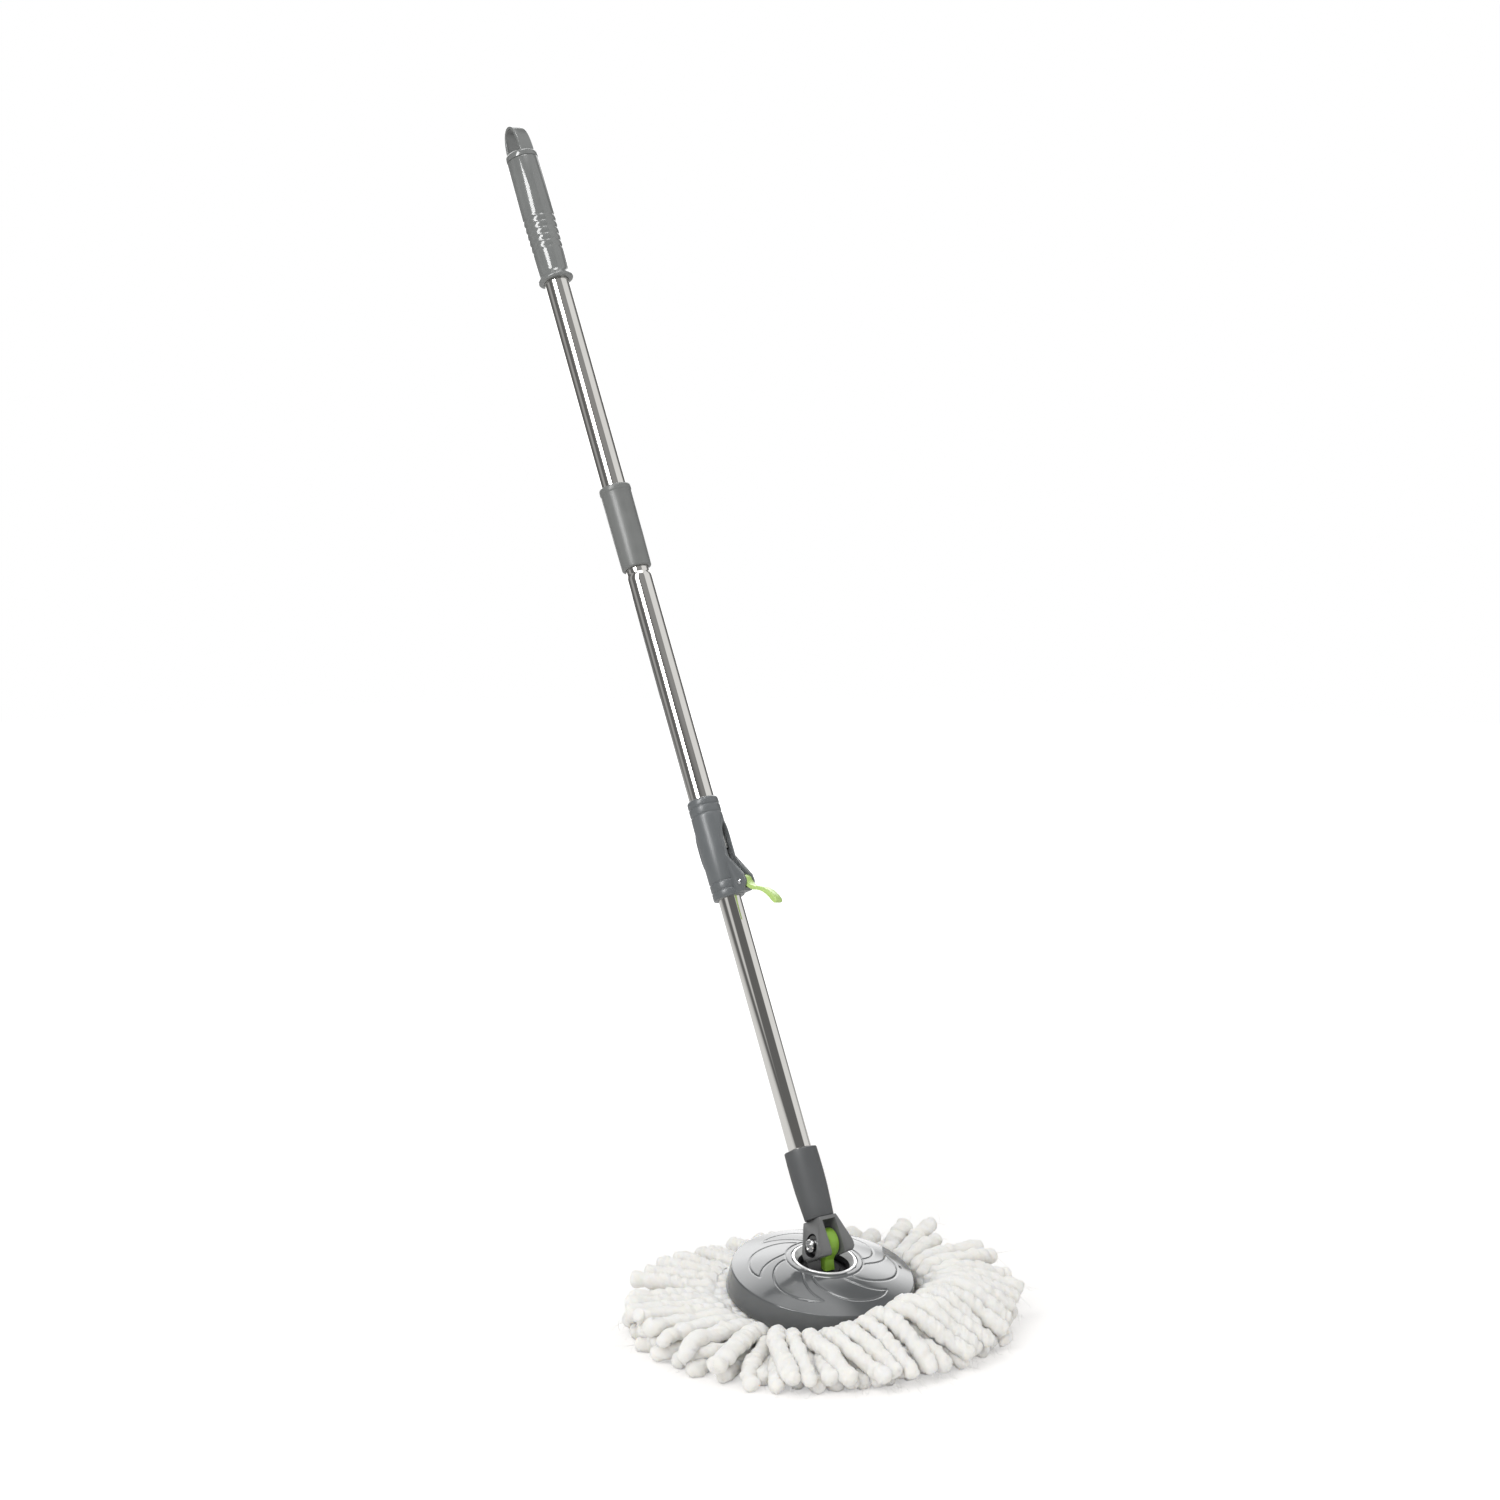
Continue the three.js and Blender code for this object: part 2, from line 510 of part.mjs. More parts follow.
place(handle, "upper_tube", "steel", tube(OUTER_R, OUTER_R - WALL, WEB_TOP + GAP, GRIP_TOP - 8.4));

// Flared collar, plain stretch, six shallow beads, plain stretch.
const GRIP_R = SLEEVE_R - 0.2;
const BEAD_PITCH = 6.5;
const BEADS = 6;
const BEADS_START = GRIP_BOTTOM + 31.4;
function gripProfile() {
  const beads = [];
  for (let i = 0; i < BEADS; i++) {
    const z = BEADS_START + (i + 0.5) * BEAD_PITCH;
    beads.push([GRIP_R - 0.5, z - 1.8], [GRIP_R + 0.2, z + 0.4]);
  }
  const end = BEADS_START + BEADS * BEAD_PITCH + 1;
  return [
    [OUTER_R + GAP, GRIP_BOTTOM], [GRIP_R + 1, GRIP_BOTTOM], [GRIP_R + 2.1, GRIP_BOTTOM + 0.6],
    [GRIP_R + 2.4, GRIP_BOTTOM + 1.9], [GRIP_R + 2, GRIP_BOTTOM + 3.2],
    [GRIP_R + 0.9, GRIP_BOTTOM + 5.2], [GRIP_R + 0.15, GRIP_BOTTOM + 8.5],
    [GRIP_R + 0.05, BEADS_START - 0.3], ...beads, [GRIP_R - 0.5, end - 1.2], [GRIP_R - 0.1, end],
    [GRIP_R - 0.25, GRIP_TOP - 0.8], [GRIP_R - 0.6, GRIP_TOP], [OUTER_R + GAP, GRIP_TOP],
  ];
}

place(handle, "grip_sleeve", "handle", turned(gripProfile()));

// End cap: spigot in the tube, collar, bevelled roof and a broad strap loop.
function hangerCap() {
  const foot = GRIP_TOP + GAP;
  const shoulder = foot + 5.3;
  const r = GRIP_R - 0.25;
  const spigot = PLUG_R;
  const arch = (inset, z) => {
    const bow = [];
    for (let i = 0; i <= 18; i++) {
      const turn = rad(180 - 10 * i);
      bow.push([(LOOP_R - inset) * Math.cos(turn), shoulder + (LOOP_HEIGHT - inset) * Math.sin(turn)]);
    }
    return [[inset - LOOP_R, z], ...bow, [LOOP_R - inset, z]];
  };
  const strap = cut(
    plateX(arch(0, shoulder - 2), STRAP_HALF),
    plateX(arch(STRAP, shoulder - 3), STRAP_HALF + 1),
  );
  return join(turned([
    [0, foot - 22.7], [spigot - 0.7, foot - 22.7], [spigot, foot - 21.7], [spigot, foot],
    [r - 0.25, foot], [r, foot + 0.5], [r, shoulder - 0.6], [r - 0.75, shoulder + 0.8],
    [8, shoulder + 4.4], [0, shoulder + 4.8],
  ]), strap);
}

place(handle, "hanger_cap", "handle", hangerCap());

// ---------------------------------------------------------------- quick lock
const LOCK_R = SLEEVE_R + 0.3;
const EAR_HALF = SLOT_HALF + EAR_WALL;
const EAR_FOOT = LOCK_BOTTOM + 0.4;
const LOCK_BORE = INNER_R + GAP;
const ringGrooves = (stations, r, depth) => stations.flatMap((z) =>
  [[r, z - 1], [r - depth, z - 0.3], [r - depth, z + 0.3], [r, z + 1]]);

// Lens outline about Z, for the raised rims round the slot and at the back.
function lens(half, z0, z1) {
  const side = [];
  for (let i = 0; i <= 8; i++) {
    const t = i / 8;
    side.push([half * Math.max(0, Math.sin(Math.PI * t)) ** 0.7, z0 + (z1 - z0) * t]);
  }
  return [...side, ...side.slice(1, -1).reverse().map(([y, z]) => [-y, z])];
}

function lockBody() {
  const shell = turned([
    [LOCK_BORE, LOCK_BOTTOM], [LOCK_R - 0.9, LOCK_BOTTOM], [LOCK_R - 0.2, LOCK_BOTTOM + 0.9],
    ...ringGrooves([LOCK_BOTTOM + 7, LOCK_BOTTOM + 14.4], LOCK_R - 0.2, 0.55),
    [LOCK_R, LOCK_SHOULDER + 4], [LOCK_R - 0.25, LOCK_TOP - 17.8],
    ...ringGrooves([LOCK_TOP - 14.2, LOCK_TOP - 6.7], LOCK_R - 0.3, 0.6),
    [LOCK_R - 0.4, LOCK_TOP - 2], [LOCK_R - 0.9, LOCK_TOP - 0.6], [LOCK_R - 1.7, LOCK_TOP],
    [OUTER_R + GAP, LOCK_TOP], [OUTER_R + GAP, LOCK_SHOULDER], [LOCK_BORE, LOCK_SHOULDER],
  ]);
  const rim = tube(LOCK_R + 1.2, LOCK_R - 1.5, LOCK_BOTTOM + 16, LOCK_TOP - 18);
  const frontHalf = box(2, 32, -12, 12, LOCK_BOTTOM, LOCK_TOP);
  const slotLens = plateX(lens(SLOT_HALF + 3.2, LOCK_BOTTOM + 14, LOCK_TOP - 22.8), 20);
  const backLens = plateX(lens(7.6, LOCK_BOTTOM + 27, LOCK_TOP - 24.8), 20);
  const ears = plateY([
    [11.6, LEVER_Z + 29], [LEVER_X + EAR_R - 0.4, LEVER_Z + 5.2],
    ...arc(LEVER_X, LEVER_Z, EAR_R, 22, -34, 6),
    [LEVER_X + 2.6, EAR_FOOT + 0.6], [LEVER_X, EAR_FOOT], [11.6, EAR_FOOT],
  ], EAR_HALF);
  const slotFoot = LEVER_Z - CAM_R - CAM_SHIFT - GAP;
  const slot = plateX([
    [-SLOT_HALF, slotFoot], [SLOT_HALF, slotFoot],
    ...arc(0, LOCK_TOP - 26.8 - SLOT_HALF, SLOT_HALF, 0, 180, 12),
  ], 2 * LEVER_X);
  return cut(
    join(shell, common(rim, slotLens, frontHalf), common(rim, backLens, halfTurn(frontHalf)), ears),
    rod(OUTER_R + GAP, LOCK_SHOULDER, LOCK_TOP + 6, 28),
    rod(LOCK_BORE, LOCK_BOTTOM - 4, LOCK_SHOULDER + 4, 28),
    common(slot, frontHalf),
    alongY(rod(PIN_R + GAP, -12, 12)).translate(LEVER_X, 0, LEVER_Z),
  );
}

place(lock, "lock_body", "handle", lockBody());

const pinSeat = EAR_HALF + 0.15;
place(lock, "lever_pin", "chrome", alongY(turned([
  [0, -pinSeat - 0.9], [PIN_R - 0.1, -pinSeat - 0.7], [PIN_R + 0.6, -pinSeat], [PIN_R, -pinSeat],
  [PIN_R, pinSeat], [PIN_R + 0.6, pinSeat], [PIN_R - 0.1, pinSeat + 0.7], [0, pinSeat + 0.9],
], 20)).translate(LEVER_X, 0, LEVER_Z));

// Cam lever, open: eccentric cam, slim neck, thick end. Points are relative to the pin.
const CAM_HALF = SLOT_HALF - 0.5;
const leverOutline = [
  ...arc(CAM_SHIFT * 0.5, CAM_SHIFT * 0.866, CAM_R, 297, -4, 24),
  [7.6, -4.4], [9.6, -6.6], [12.8, -8.6], [16.8, -10.1], [20.6, -12.4], [24.4, -16.2],
  [27.8, -21.6], [29.4, -25.4], [29.5, -27.2], [28.3, -28.6], [26.5, -28.4], [24.8, -26],
  [23, -22.2], [20.6, -18.2], [17.6, -14.8], [13.6, -12.2], [9.4, -10.6], [6.3, -8], [4.5, -5.7],
];
place(lock, "cam_lever", "lime",
  cut(plateY(leverOutline, CAM_HALF), alongY(rod(PIN_R + GAP, -12, 12))).translate(LEVER_X, 0, LEVER_Z));

const brakeFace = LEVER_X - CAM_R + CAM_SHIFT / 2 - GAP;
place(lock, "brake_pad", "rubber", cut(
  box(7, brakeFace, -CAM_HALF, CAM_HALF, LEVER_Z - CAM_R, LEVER_Z + CAM_R),
  rod(INNER_R + BRAKE_PLAY, LEVER_Z - 20, LEVER_Z + 20, 48),
));

export default mop;
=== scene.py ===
import bpy
import numpy as np
from math import cos, hypot, pi, radians, sin
from mathutils import Matrix, Vector


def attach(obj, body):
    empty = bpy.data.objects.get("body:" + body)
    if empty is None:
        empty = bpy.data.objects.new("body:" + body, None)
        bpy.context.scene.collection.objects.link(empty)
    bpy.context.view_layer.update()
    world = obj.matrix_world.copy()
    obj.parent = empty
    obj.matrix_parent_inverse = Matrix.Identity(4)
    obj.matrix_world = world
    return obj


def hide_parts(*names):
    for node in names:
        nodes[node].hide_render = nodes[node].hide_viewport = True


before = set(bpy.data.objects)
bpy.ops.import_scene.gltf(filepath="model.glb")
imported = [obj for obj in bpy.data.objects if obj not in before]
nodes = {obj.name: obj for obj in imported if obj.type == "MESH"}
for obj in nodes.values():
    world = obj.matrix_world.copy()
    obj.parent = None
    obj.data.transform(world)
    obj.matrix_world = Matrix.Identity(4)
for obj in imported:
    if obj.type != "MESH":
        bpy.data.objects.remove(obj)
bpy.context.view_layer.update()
print("frame loaded:", len(nodes), "nodes")

# Where the groups of the mop stand; lengths along the handle are from the bolt, in mm.
mm = 0.001
layout = {"boltHeight": 73.3, "boltY": -171.69, "handleLean": 28.2, "discTip": 9.8, "lockTurn": 66.8}
boltPlace = Matrix.Translation((0, layout["boltY"] * mm, layout["boltHeight"] * mm))
handlePlace = boltPlace @ Matrix.Rotation(-radians(layout["handleLean"]), 4, "X")
discPlace = boltPlace @ Matrix.Rotation(radians(layout["discTip"]), 4, "X")
lockPlace = handlePlace @ Matrix.Rotation(-radians(layout["lockTurn"]), 4, "Z")

view = {"place": (-1.4790, -2.2153, 0.9360), "along": (0.55704, 0.81213, -0.17365), "lens": 75.6}
bpy.ops.object.camera_add(location=view["place"])
camera = bpy.context.object
camera.rotation_euler = Vector(view["along"]).to_track_quat("-Z", "Y").to_euler()
camera.data.lens = view["lens"]
camera.data.clip_start = 0.05
bpy.context.scene.camera = camera
bpy.context.scene.view_settings.view_transform = "Standard"


def newMaterial(name):
    finish = bpy.data.materials.new(name)
    finish.use_nodes = True
    tree = finish.node_tree
    return finish, tree, tree.nodes["Principled BSDF"]


def addNode(tree, kind, **values):
    node = tree.nodes.new("ShaderNode" + kind)
    for key, value in values.items():
        if hasattr(node, key):
            setattr(node, key, value)
        else:
            node.inputs[key.replace("_", " ")].default_value = value
    return node


def coordsOf(tree, kind="Object"):
    return addNode(tree, "TexCoord").outputs[kind]


def link(tree, output, socket):
    tree.links.new(output, socket)


def feed(tree, socket, value):  # a constant, or another node's output
    if isinstance(value, (int, float)):
        socket.default_value = value
    else:
        link(tree, value, socket)


def setInputs(node, **values):
    for name, value in values.items():
        node.inputs[name.replace("_", " ")].default_value = value


def maths(tree, operation, first, second):
    node = addNode(tree, "Math", operation=operation)
    feed(tree, node.inputs[0], first)
    feed(tree, node.inputs[1], second)
    return node.outputs[0]


def mixed(tree, factor, first, second):
    node = addNode(tree, "Mix", data_type="FLOAT")
    for index, value in ((0, factor), (2, first), (3, second)):
        feed(tree, node.inputs[index], value)
    return node.outputs[0]


def mapped(tree, value, fromMin, fromMax, toMin, toMax):
    node = addNode(tree, "MapRange")
    setInputs(node, From_Min=fromMin, From_Max=fromMax, To_Min=toMin, To_Max=toMax)
    link(tree, value, node.inputs["Value"])
    return node.outputs[0]


# White floor. Seen straight it keeps the soft shadow near the mop and is white further out;
# polished metal sees it dim with distance, as a lit sweep in a dark room does.
floorLook = {"radius": 3.2, "colour": (0.93, 0.915, 0.90), "white": (0.3, 0.9), "dim": (0.6, 2.3),
             "glow": 1.4, "glossyGlow": (0.72, 0.2), "share": (0.3, 1.0)}
bpy.ops.mesh.primitive_circle_add(vertices=96, radius=floorLook["radius"], fill_type="NGON",
                                  location=(0, 0, 0))
floor = bpy.context.object
floor.name = "studio_floor"
floorFinish, tree, shader = newMaterial("white_floor")
setInputs(shader, Base_Color=(*floorLook["colour"], 1), Roughness=0.9, Specular_IOR_Level=0.0)
away = addNode(tree, "VectorMath", operation="LENGTH")
link(tree, coordsOf(tree), away.inputs[0])
distance = away.outputs["Value"]
rays = addNode(tree, "LightPath").outputs
dimmed = mapped(tree, distance, *floorLook["dim"], *floorLook["glossyGlow"])
glow = addNode(tree, "Emission")
link(tree, mixed(tree, rays["Is Glossy Ray"], floorLook["glow"], dimmed), glow.inputs["Strength"])
share = mapped(tree, distance, *floorLook["white"], *floorLook["share"])
share = maths(tree, "MULTIPLY", rays["Is Camera Ray"], share)
seen = maths(tree, "MAXIMUM", share, rays["Is Glossy Ray"])
blend = addNode(tree, "MixShader")
for socket, output in zip(blend.inputs, (seen, shader.outputs[0], glow.outputs[0])):
    link(tree, output, socket)
link(tree, blend.outputs[0], tree.nodes["Material Output"].inputs["Surface"])
floor.data.materials.append(floorFinish)

# The room: plain for shading, white for the camera. Glossy surfaces see walls and panels, each
# with a brightness, its fall-off round the room in degrees from +X, and its fall-off in height.
studio = {
    "plain": 0.79,
    "room": (0.13, [(0, 1), (360, 1)], [(-90, 1), (90, 1)]),
    "backWall": (2.2, [(36, 0), (46, 1), (86, 1), (95, 0)], [(-20, 1), (12, 1), (20, 0)]),
    "backWindow": (5.0, [(18, 0), (32, 1), (74, 1), (92, 0.35), (104, 0)],
                   [(12, 0), (20, 0.75), (30, 1), (40, 0.9), (46, 0)]),
    "backCeiling": (4.3, [(28, 0), (46, 1), (80, 1), (104, 0)],
                    [(40, 0), (46, 1), (52, 0.85), (60, 0.35), (66, 0)]),
    "zenith": (2.4, [(0, 0.6), (22, 1), (64, 1), (90, 0.4), (360, 0.4)],
               [(60, 0), (67, 1), (76, 0.6), (90, 0.4)]),
    "overhead": (9.0, [(185, 0), (198, 1), (292, 1), (305, 0)], [(66, 0), (71, 1), (86, 1), (90, 0.5)]),
    "leftPanel": (0.22, [(128, 0), (137, 1), (152, 1), (158, 0)], [(-20, 1), (50, 1), (60, 0)]),
    "lampGlow": (0.5, [(178, 0), (190, 1), (205, 1), (214, 0)], [(2, 0), (8, 1), (60, 1), (75, 0)]),
    "frontCeiling": (0.15, [(214, 0), (222, 1), (286, 1), (292, 0)], [(36, 0), (44, 1), (90, 1)]),
    "rightPanel": (0.64, [(289, 0), (295, 1), (352, 1), (360, 0.6)],
                   [(-10, 0.6), (5, 1), (55, 1), (70, 0)]),
    "rightEdge": (0.3, [(0, 1), (1, 1), (5, 0)], [(-10, 0.6), (5, 1), (55, 1), (70, 0)]),
}


def curveFrom(tree, value, stops, low, high):
    curve = addNode(tree, "FloatCurve")
    shares = [((at - low) / (high - low), level) for at, level in stops]
    ends = [(0.0, stops[0][1]), *shares, (1.0, stops[-1][1])]
    line = curve.mapping.curves[0]
    line.points[0].location, line.points[1].location = ends[0], ends[-1]
    for place in ends[1:-1]:
        if 0 < place[0] < 1:
            line.points.new(*place)
    for point in line.points:
        point.handle_type = "VECTOR"
    curve.mapping.update()
    link(tree, value, curve.inputs["Value"])
    return curve.outputs[0]


world = bpy.data.worlds.new("studio")
bpy.context.scene.world = world
world.use_nodes = True
tree = world.node_tree
sky = tree.nodes["Background"]
parts = addNode(tree, "SeparateXYZ")
link(tree, coordsOf(tree, "Generated"), parts.inputs[0])
heading = maths(tree, "ARCTAN2", parts.outputs["Y"], parts.outputs["X"])
turn = maths(tree, "FRACT", maths(tree, "DIVIDE", heading, 2 * pi), 0.0)
rise = maths(tree, "ARCSINE", parts.outputs["Z"], 0.0)
height = maths(tree, "ADD", maths(tree, "DIVIDE", rise, pi), 0.5)
glossy = 0.0
for name, box in studio.items():
    if name == "plain":
        continue
    level, azimuths, heights = box
    panel = maths(tree, "MULTIPLY", curveFrom(tree, turn, azimuths, 0, 360),
                  curveFrom(tree, height, heights, -90, 90))
    glossy = maths(tree, "ADD", glossy, maths(tree, "MULTIPLY", panel, level))
rays = addNode(tree, "LightPath").outputs
unseen = mixed(tree, rays["Is Glossy Ray"], studio["plain"], glossy)
link(tree, mixed(tree, rays["Is Camera Ray"], unseen, 1.0), sky.inputs["Strength"])
sky.inputs["Color"].default_value = (1, 1, 1, 1)

lamps = {  # place, aim, width, height, watts, lights matt surfaces or glossy ones
    "key_lamp": ((-1.5, -0.9, 1.9), (0, -0.1, 0.15), 1.0, 1.0, 17, "diffuse"),
    "strip_lamp": ((-2.30, -0.75, 2.42), (-0.08, 0.09, 1.12), 1.02, 2.1, 77, "glossy"),
}
for name, (place, aim, width, height, watts, kind) in lamps.items():
    bpy.ops.object.light_add(type="AREA", location=place)
    lamp = bpy.context.object
    lamp.name = name
    lamp.rotation_euler = (Vector(aim) - Vector(place)).to_track_quat("-Z", "Y").to_euler()
    lamp.data.shape = "RECTANGLE"
    lamp.data.size, lamp.data.size_y = width, height
    lamp.data.energy = watts
    lamp.visible_camera = False
    lamp.visible_glossy = kind == "glossy"
    lamp.visible_diffuse = kind == "diffuse"
print("camera, floor and light set")


def noise(tree, coords, scale, detail=3, roughness=0.5):
    texture = addNode(tree, "TexNoise", Scale=scale, Detail=detail, Roughness=roughness)
    link(tree, coords, texture.inputs["Vector"])
    return texture.outputs[0]


def stretch(tree, coords, scale):
    mapping = addNode(tree, "Mapping")
    mapping.inputs["Scale"].default_value = scale
    link(tree, coords, mapping.inputs["Vector"])
    return mapping.outputs[0]


def spread(tree, value, low, high):  # noise keeps mostly between 0.3 and 0.7
    return mapped(tree, value, 0.3, 0.7, low, high)


def tint(tree, factor, dark, light):
    mix = addNode(tree, "Mix", data_type="RGBA")
    mix.inputs[6].default_value, mix.inputs[7].default_value = (*dark, 1), (*light, 1)
    link(tree, factor, mix.inputs[0])
    return mix.outputs[2]


def addBump(tree, shader, height, strength, distance):
    bump = addNode(tree, "Bump", Strength=strength, Distance=distance)
    link(tree, height, bump.inputs["Height"])
    link(tree, bump.outputs[0], shader.inputs["Normal"])


def shade(colour, factor):
    return tuple(channel * factor for channel in colour)


def mouldedPlastic(name, colour, gloss, grain=0.10, grainSize=1400, coat=0.0, ior=1.5):
    finish, tree, shader = newMaterial(name)
    coords = coordsOf(tree)
    cloud = noise(tree, coords, 38, 4)
    pores = noise(tree, coords, grainSize, 2)
    link(tree, tint(tree, spread(tree, cloud, 0, 1), shade(colour, 0.94), shade(colour, 1.05)),
         shader.inputs["Base Color"])
    link(tree, spread(tree, cloud, gloss * 0.88, gloss * 1.14), shader.inputs["Roughness"])
    setInputs(shader, IOR=ior, Coat_Weight=coat, Coat_Roughness=0.08)
    addBump(tree, shader, pores, grain, 0.00012)
    return finish


def metal(name, colour, gloss, streak=(1, 1, 1), scratch=0.04, scratchSize=500, metallic=1.0):
    finish, tree, shader = newMaterial(name)
    coords = coordsOf(tree)
    lines = noise(tree, stretch(tree, coords, streak), scratchSize, 3, 0.6)
    cloud = noise(tree, coords, 26, 3)
    link(tree, tint(tree, cloud, shade(colour, 0.95), shade(colour, 1.04)), shader.inputs["Base Color"])
    link(tree, spread(tree, lines, gloss * 0.8, gloss * 1.25), shader.inputs["Roughness"])
    shader.inputs["Metallic"].default_value = metallic
    addBump(tree, shader, lines, scratch, 0.00005)
    return finish


finishes = {
    "grip": mouldedPlastic("grip_plastic", (0.190, 0.197, 0.193), 0.10, 0.006, coat=0.4, ior=1.5),
    "sleeve": mouldedPlastic("sleeve_plastic", (0.180, 0.186, 0.182), 0.33, 0.006, ior=1.46),
    "lock": mouldedPlastic("lock_plastic", (0.138, 0.148, 0.154), 0.31, 0.01),
    "socket": mouldedPlastic("socket_plastic", (0.088, 0.092, 0.095), 0.55, 0.10),
    "yoke": mouldedPlastic("yoke_plastic", (0.150, 0.152, 0.152), 0.24, 0.012, ior=1.55),
    "disc": mouldedPlastic("disc_plastic", (0.116, 0.121, 0.124), 0.10, 0.015, ior=1.53),
    "under": mouldedPlastic("underside_plastic", (0.10, 0.105, 0.108), 0.45, 0.10),
    "lime": mouldedPlastic("lime_plastic", (0.47, 0.66, 0.20), 0.32, 0.04),
    "green": mouldedPlastic("green_plastic", (0.235, 0.43, 0.045), 0.34, 0.04),
    "nylon": mouldedPlastic("white_nylon", (0.74, 0.74, 0.71), 0.42, 0.05),
    # black plastic of the hub cup and swivel base; also painted on the yoke's recess and the bezel's lower
    # cone as painted shade
    "black": mouldedPlastic("black_plastic", (0.013, 0.013, 0.014), 0.60, 0.06, ior=1.28),
    "rubber": mouldedPlastic("brake_rubber", (0.022, 0.022, 0.023), 0.75, 0.30, 900),
    "steel": metal("tube_steel", (0.86, 0.845, 0.81), 0.05, (1, 0.06, 0.06), 0.015),
    # painted reflection: the chrome bezel is mostly diffuse white, standing in for the white studio it
    # reflects
    "chrome": metal("bezel_chrome_painted_reflection", (0.95, 0.95, 0.95), 0.20, scratch=0.006, metallic=0.3),
    "zinc": metal("zinc_steel", (0.60, 0.61, 0.62), 0.26, scratch=0.05),
    "washer": metal("washer_steel", (0.20, 0.20, 0.20), 0.38, scratch=0.05),
    "bolt": metal("bolt_steel", (0.72, 0.72, 0.72), 0.22, scratch=0.03),
    "rod": metal("rod_steel", (0.58, 0.57, 0.56), 0.30, (0.2, 1, 1), 0.05),
}
print("finishes made:", len(finishes))


# A second material on the faces that a test picks by their middle, in mm.
def paintFaces(piece, finish, place, picks):
    piece.data.materials.append(finish)
    inward = place.inverted()
    for face in piece.data.polygons:
        if picks(inward @ face.center / mm):
            face.material_index = 1


def finished(piece, finish, body, replaced=()):
    piece.data.materials.clear()
    piece.data.materials.append(finish)
    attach(piece, body)
    if replaced:
        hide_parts(*replaced)


def pick(piece):
    bpy.ops.object.select_all(action="DESELECT")
    piece.select_set(True)
    bpy.context.view_layer.objects.active = piece


def editAll():
    bpy.ops.object.mode_set(mode="EDIT")
    bpy.ops.mesh.select_all(action="SELECT")


def faceOutward():  # and out of edit mode
    bpy.ops.mesh.normals_make_consistent(inside=False)
    bpy.ops.object.mode_set(mode="OBJECT")


def startPiece(name):
    bpy.ops.mesh.primitive_plane_add(size=0.001, location=(0, 0, 0))
    piece = bpy.context.object
    piece.name = name
    piece.data.name = name
    return piece


def applyModifier(piece, kind, **values):
    pick(piece)
    modifier = piece.modifiers.new(kind.title(), kind)
    for key, value in values.items():
        setattr(modifier, key, value)
    bpy.ops.object.modifier_apply(modifier=modifier.name)


def bevelled(piece, width, segments, sharpest):
    applyModifier(piece, "BEVEL", width=width * mm, segments=segments, limit_method="ANGLE",
                  angle_limit=radians(sharpest))


def softenEdges(piece, width, sharpest=32):
    if width:
        bevelled(piece, width, 2, sharpest)
    pick(piece)
    bpy.ops.object.shade_smooth_by_angle(angle=radians(38))


def putInPlace(piece, place):
    piece.matrix_world = place
    pick(piece)
    bpy.ops.object.transform_apply(location=True, rotation=True, scale=True)


def fitted(piece, place, finish, body, replaced, bevel=0, sharpest=32):
    softenEdges(piece, bevel, sharpest)
    putInPlace(piece, place)
    finished(piece, finishes[finish], body, replaced)


# Draws edges from a first point by a list of moves, and stays in edit mode with all selected.
def drawLine(first, moves):
    editAll()
    bpy.ops.mesh.merge(type="CENTER")
    bpy.ops.transform.translate(value=first)
    for move in moves:
        bpy.ops.mesh.extrude_region_move(TRANSFORM_OT_translate={"value": move})
    bpy.ops.mesh.select_all(action="SELECT")


# A profile of (radius, height) points drawn point by point and spun about Z.
def spun(name, profile, steps=96, closed=True):
    piece = startPiece(name)
    points = [*profile, profile[0]] if closed else list(profile)
    drawLine((points[0][0] * mm, 0, points[0][1] * mm),
             [((r1 - r0) * mm, 0, (z1 - z0) * mm) for (r0, z0), (r1, z1) in zip(points, points[1:])])
    bpy.ops.mesh.spin(steps=steps, angle=2 * pi, center=(0, 0, 0), axis=(0, 0, 1))
    bpy.ops.mesh.select_all(action="SELECT")
    bpy.ops.mesh.remove_doubles(threshold=2e-6)
    faceOutward()
    return piece


# A copy of a CAD node's mesh, merged and with its flat faces joined.
def fromNode(name, node):
    source = nodes[node]
    piece = source.copy()
    piece.data = source.data.copy()
    piece.name = name
    piece.data.name = name
    piece.parent = None
    for key in list(piece.keys()):
        del piece[key]
    bpy.context.scene.collection.objects.link(piece)
    piece.matrix_world = Matrix.Identity(4)
    pick(piece)
    editAll()
    bpy.ops.mesh.customdata_custom_splitnormals_clear()
    bpy.ops.mesh.remove_doubles(threshold=5e-6)
    bpy.ops.mesh.dissolve_limited(angle_limit=radians(0.6))
    bpy.ops.object.mode_set(mode="OBJECT")
    return piece


